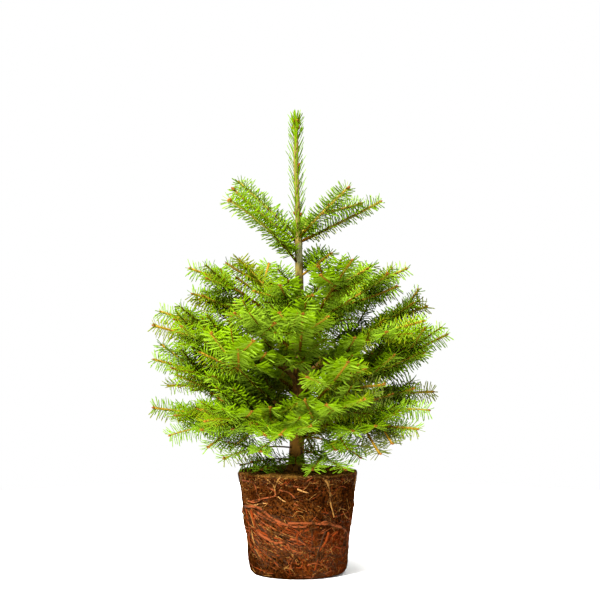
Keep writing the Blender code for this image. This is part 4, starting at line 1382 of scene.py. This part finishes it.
class FIR_OT_trunk(bpy.types.Operator):
    """Build the trunk with root lobes at its foot and bark in relief up to the bud of the leader"""

    bl_idname = "fir.trunk"
    bl_label = "Trunk"
    bl_options = {"REGISTER", "UNDO"}

    def execute(self, context):
        foot = BALL_HEIGHT - TRUNK_SUNK
        heights = [foot + (TRUNK_TIP - foot) * i / TRUNK_RINGS for i in range(TRUNK_RINGS + 1)]
        points = [trunk_point(h) for h in heights]
        radii = [trunk_radius(h) + (LEADER_BARK if h > LEADER_FOOT else 0.0) for h in heights]
        trunk = tubes("trunk_bark", [(points, radii, 0)], TRUNK_ROUNDNESS, [bark_material()])
        relief = settings("fir_bark").relief
        for vertex in trunk.data.vertices:
            spot = vertex.co
            centre = trunk_point(spot.z)
            outward = Vector((spot.x - centre.x, spot.y - centre.y, 0))
            if outward.length < 1e-6:
                continue
            around = math.atan2(outward.y, outward.x)
            lobe = 0.62 + 0.38 * math.cos(FLARE_LOBES * around + 0.6)
            spread = FLARE_RADIUS * lobe * math.exp(-max(0.0, spot.z - TRUNK_FOOT) / FLARE_HEIGHT)
            ridges = noise.noise(Vector((spot.x * RIDGES_ACROSS, spot.y * RIDGES_ACROSS, spot.z * RIDGES_ALONG)))
            lumps = noise.noise(spot * BARK_LUMPS)
            rough = relief * (ridges + 0.9 * lumps) * (0.35 + 0.65 * min(1.0, trunk_radius(spot.z) / 0.012))
            vertex.co = spot + outward.normalized() * (spread + rough)
        finish(trunk, ["trunk"])
        return {"FINISHED"}


class FIR_OT_boughs(bpy.types.Operator):
    """Build the main boughs with a collar at the trunk and bark in relief"""

    bl_idname = "fir.boughs"
    bl_label = "Boughs"
    bl_options = {"REGISTER", "UNDO"}

    def execute(self, context):
        rows, nodes = [], []
        for name, boughed, line in whorl_boughs():
            if not boughed:
                continue
            points = stretch_of(line, 0, BARE_BOUGH + 0.003, BOUGH_RINGS)
            radii = []
            for i, point in enumerate(points):
                share = i / BOUGH_RINGS
                collar = BOUGH_COLLAR * math.exp(-share * 14)
                knots = BOUGH_KNOTS * noise.noise(point * 160)
                radii.append(BOUGH_FOOT_RADIUS + (BOUGH_END_RADIUS - BOUGH_FOOT_RADIUS) * share + collar + knots)
            rows.append((points, radii, 0))
            nodes.append(f"bough_{name}")
        boughs = tubes("bough_bark", rows, 6, [bough_material()])
        for vertex in boughs.data.vertices:
            vertex.co += vertex.normal * BOUGH_ROUGHNESS * noise.noise(vertex.co * 300)
        finish(boughs, nodes)
        return {"FINISHED"}


class FIR_OT_twigs(bpy.types.Operator):
    """Grow the twigs of every mass of foliage, golden in their last year and brown before it"""

    bl_idname = "fir.twigs"
    bl_label = "Twigs"
    bl_options = {"REGISTER", "UNDO"}

    def execute(self, context):
        twigs = settings("fir_twigs")
        rows = []
        for _, whorl, shoot in shown_shoots():
            end = shoot.grown - TWIG_END
            steps = max(6, int(end / TWIG_STEP))
            places = [end * i / steps for i in range(steps + 1)]
            points = [line_at(shoot.line, place)[0] for place in places]
            radii = [twig_radius(shoot, place) for place in places]
            old = max(0, int(steps * (1 - LAST_GROWTH / max(end, 1e-6)))) if shoot.age == 0 else 0
            if old > 1:
                rows.append((points[: old + 1], radii[: old + 1], 1))
                points, radii = points[old:], radii[old:]
            rows.append((points, radii, 2 if shoot.line[-1].z > TOP_SHOOTS else 1 if shoot.age == FINE_AGE else 0))
        materials = [plain("young_twig", tuple(twigs.young_twig), 0.55, 0.02),
                     plain("old_twig", tuple(twigs.old_twig), 0.7, 0.0),
                     plain("top_twig", tuple(twigs.top_twig), 0.6, 0.02)]
        finish(tubes("twigs", rows, 2, materials), foliage_nodes())
        return {"FINISHED"}


class FIR_OT_needles(bpy.types.Operator):
    """Set the needles on every twig, one piece for each whorl and a tint for each spray"""

    bl_idname = "fir.needles"
    bl_label = "Needles"
    bl_options = {"REGISTER", "UNDO"}

    def execute(self, context):
        seed = settings("fir_stage").seed
        beds = {whorl: NeedleBed() for whorl in WHORLS}
        for number, whorl, shoot in shown_shoots():
            rng = np.random.default_rng(seed * 1000 + number)
            deal = random.Random(f"{SEED} tint {number}")
            tint = tint_of(whorl, shoot, deal)
            under = UNDERSIDE if deal.random() > PALE_SHARE else PALE_UNDERSIDE
            # Painted shade: on the low whorl and under PALE_HEIGHT, the undersides take the spray's own tint, without
            # pale bands.
            if whorl == "low" or shoot.line[-1].z < PALE_HEIGHT:
                under = tint
            young = whorl in ("top", "inner")
            spacing = settings("fir_needles").spacing * (YOUNG_SPACING if young else 1.0)
            start, last_year, end = needle_spans(whorl, shoot)
            clothe(beds[whorl], shoot, last_year, end, spacing, tint, under, rng, young)
            if shoot.age == 0:
                clothe(beds[whorl], shoot, start, last_year, spacing * (1.0 if young else OLD_SPACING),
                       min(tint + 1, DEEP), under, rng, young, False)
        for whorl, bed in beds.items():
            finish(bed.build(f"needles_{whorl}", needle_materials()), foliage_nodes(whorl))
        return {"FINISHED"}


class FIR_OT_leader(bpy.types.Operator):
    """Press the sparse needles of the leader upward round it, with a dense tuft at its bud"""

    bl_idname = "fir.leader"
    bl_label = "Leader"
    bl_options = {"REGISTER", "UNDO"}

    def execute(self, context):
        needles = settings("fir_needles")
        rng = np.random.default_rng(settings("fir_stage").seed)
        bed = NeedleBed()
        for count, low, high, lean, length, tint in LEADER_NEEDLES:
            heights = low + (high - low) * (np.arange(count) + rng.random(count)) / count
            around = np.radians(np.arange(count) * GOLDEN_ANGLE + rng.normal(0, 8, count))
            centres = np.array([trunk_point(h)[:] for h in heights])
            radii = np.array([trunk_radius(h) for h in heights])
            out = np.stack([np.cos(around), np.sin(around), np.zeros(count)], axis=1)
            angle = np.radians(rng.uniform(*lean, count))[:, None]
            upward = np.array([[0.0, 0.0, 1.0]])
            directions, top = unit(turned(upward, out, angle)), unit(turned(-out, upward, angle))
            lengths = length * rng.uniform(0.86, 1.08, count)
            bed.add(centres + out * radii[:, None] * 0.85, directions, top, lengths,
                    np.full(count, needles.width * 1.15), rng.normal(0.04, 0.05, count), tint, UNDERSIDE)
        finish(bed.build("leader_needles", needle_materials()), ["leader_foliage"])
        return {"FINISHED"}


class FIR_OT_buds(bpy.types.Operator):
    """Set a cluster of buds at the end of every shoot and round the tip of the leader"""

    bl_idname = "fir.buds"
    bl_label = "Buds"
    bl_options = {"REGISTER", "UNDO"}

    def execute(self, context):
        twigs = settings("fir_twigs")
        rows = []
        for number, _, shoot in shown_shoots():
            rows += self.shoot_buds(shoot, random.Random(f"{SEED} bud {number}"), twigs.bud_length)
        rows += self.leader_buds()
        points, faces, _ = arrays_of(rod(6, BUD_JOINTS))
        placed = []
        for spot, direction, length, _ in rows:
            turn = np.array(direction.to_track_quat("Z", "Y").to_matrix())
            width = length * BUD_WIDTH
            placed.append(points * (width, width, length) @ turn.T + np.array(spot))
        slots = np.repeat([row[3] for row in rows], len(faces))
        materials = [plain("bud", tuple(twigs.bud), 0.45, 0.03), plain("pale_bud", tuple(twigs.pale_bud), 0.5, 0.02)]
        piece = joined("buds", np.concatenate(placed), repeated(faces, len(rows), len(points)), slots, materials, True)
        finish(piece, foliage_nodes())
        return {"FINISHED"}

    @staticmethod
    def shoot_buds(shoot, rng, length):
        """The buds at the end of a shoot and along it: spot, direction, length, and 1 for a pale one."""
        spot, side, up, forward = frame_at(shoot.line, shoot.grown - BUD_SEAT, shoot.roll)
        stout = shoot.line[-1].z > TOP_SHOOTS and shoot.age < 2
        scale = length * (STOUT_BUD if stout else BUD_SCALES[shoot.age])
        places = [(0.0, 0.0, CENTRE_BUD)]
        if shoot.age < FINE_AGE:
            places += [(rng.uniform(35, 55), around + rng.uniform(-0.3, 0.3), ROUND_BUD)
                       for around in (0.0, math.pi, rng.uniform(1.2, 1.9))[: rng.choice((2, 2, 3))]]
        rows = []
        for lean, around, share in places:
            out = side * math.cos(around) + up * math.sin(around)
            direction = (forward * math.cos(math.radians(lean)) + out * math.sin(math.radians(lean))).normalized()
            rows.append((spot + out * 0.0008, direction, scale * share * rng.uniform(0.85, 1.1), rng.choice((0, 0, 1))))
        if shoot.grown > 0.08 and shoot.age < 2:
            for place in (0.55, 0.8):
                spot, side, up, forward = frame_at(shoot.line, shoot.grown * (place + rng.uniform(-0.1, 0.1)),
                                                   shoot.roll)
                out = side * rng.choice((1, -1)) * 0.8 + up * 0.6
                rows.append((spot + out * 0.0010, (forward + out).normalized(), scale * ALONG_BUD, 0))
        return rows

    @staticmethod
    def leader_buds():
        """The leader's end bud, the ring of five round it, and the small buds down its side."""
        up, top = Vector((0, 0, 1)), trunk_point(TRUNK_TIP)
        rows = [(top - up * 0.003, up, END_BUD, 0)]
        for azimuth in range(0, 360, 72):
            out = compass(azimuth)
            rows.append((top + out * 0.0024 - up * 0.005, (out * 0.75 + up).normalized(), RING_BUD,
                         1 if azimuth % 144 == 0 else 0))
        for height, azimuth in LEADER_BUDS:
            out = compass(azimuth)
            rows.append((trunk_point(height) + out * trunk_radius(height), (out * 0.6 + up).normalized(), SMALL_BUD, 0))
        return rows


class FIR_OT_stage(bpy.types.Operator):
    """Lay the pale floor, hang the lights and set the camera at the photograph's viewing angle"""

    bl_idname = "fir.stage"
    bl_label = "Stage"
    bl_options = {"REGISTER", "UNDO"}

    def execute(self, context):
        stage = settings("fir_stage")
        scene = bpy.context.scene
        shape = bmesh.new()
        bmesh.ops.create_circle(shape, cap_ends=True, segments=96, radius=FLOOR_RADIUS)
        mesh = bpy.data.meshes.new("floor")
        shape.to_mesh(mesh)
        shape.free()
        mesh.materials.append(plain("floor", tuple(stage.floor), 0.9, 0.1))
        add_object("floor", mesh)
        for name, (place, aim, spread, share) in LAMPS.items():
            self.light(name, place, aim, spread, stage.key_power * share)
        world = bpy.data.worlds.new("surroundings")
        world.use_nodes = True
        background = world.node_tree.nodes["Background"]
        background.inputs["Color"].default_value = (1, 1, 1, 1)
        background.inputs["Strength"].default_value = stage.sky
        scene.world = world
        scene.view_settings.view_transform = "Standard"
        data = bpy.data.cameras.new("camera")
        data.lens, data.sensor_width = stage.focal_length, 36
        data.shift_x, data.shift_y = stage.lens_shift
        camera = add_object("camera", data)
        camera.location = (0, -stage.camera_distance, stage.camera_height)
        camera.rotation_euler = (math.radians(90), 0, 0)
        scene.camera = camera
        return {"FINISHED"}

    @staticmethod
    def light(name, place, aim, spread, power):
        """Hangs a round lamp that points at its aim."""
        data = bpy.data.lights.new(name, "AREA")
        data.shape, data.size, data.energy = "DISK", spread, power
        lamp = add_object(name, data)
        lamp.location = place
        lamp.rotation_euler = (Vector(aim) - Vector(place)).to_track_quat("-Z", "Y").to_euler()


OPERATORS = (FIR_OT_stage, FIR_OT_soil, FIR_OT_roots, FIR_OT_trunk, FIR_OT_boughs, FIR_OT_twigs, FIR_OT_needles,
             FIR_OT_leader, FIR_OT_buds)


class FIR_PT_panel(bpy.types.Panel):
    """Sizes, colours and buttons of the fir"""

    bl_idname = "FIR_PT_panel"
    bl_label = "Nordmann fir"
    bl_space_type = "VIEW_3D"
    bl_region_type = "UI"
    bl_category = "Fir"

    def draw(self, context):
        for name, group in SETTINGS.items():
            box = self.layout.box()
            box.label(text=group.__doc__)
            for key in group.__annotations__:
                box.prop(getattr(context.scene, name), key)
        for operator in OPERATORS:
            self.layout.operator(operator.bl_idname)


def register():
    for kind in (*SETTINGS.values(), *OPERATORS, FIR_PT_panel):
        bpy.utils.register_class(kind)
    for name, group in SETTINGS.items():
        setattr(bpy.types.Scene, name, PointerProperty(type=group))


def unregister():
    for name in SETTINGS:
        delattr(bpy.types.Scene, name)
    for kind in reversed((*SETTINGS.values(), *OPERATORS, FIR_PT_panel)):
        bpy.utils.unregister_class(kind)


def main():
    register()
    for operator in OPERATORS:
        group, name = operator.bl_idname.split(".")
        getattr(getattr(bpy.ops, group), name)()


if __name__ == "__main__":
    main()
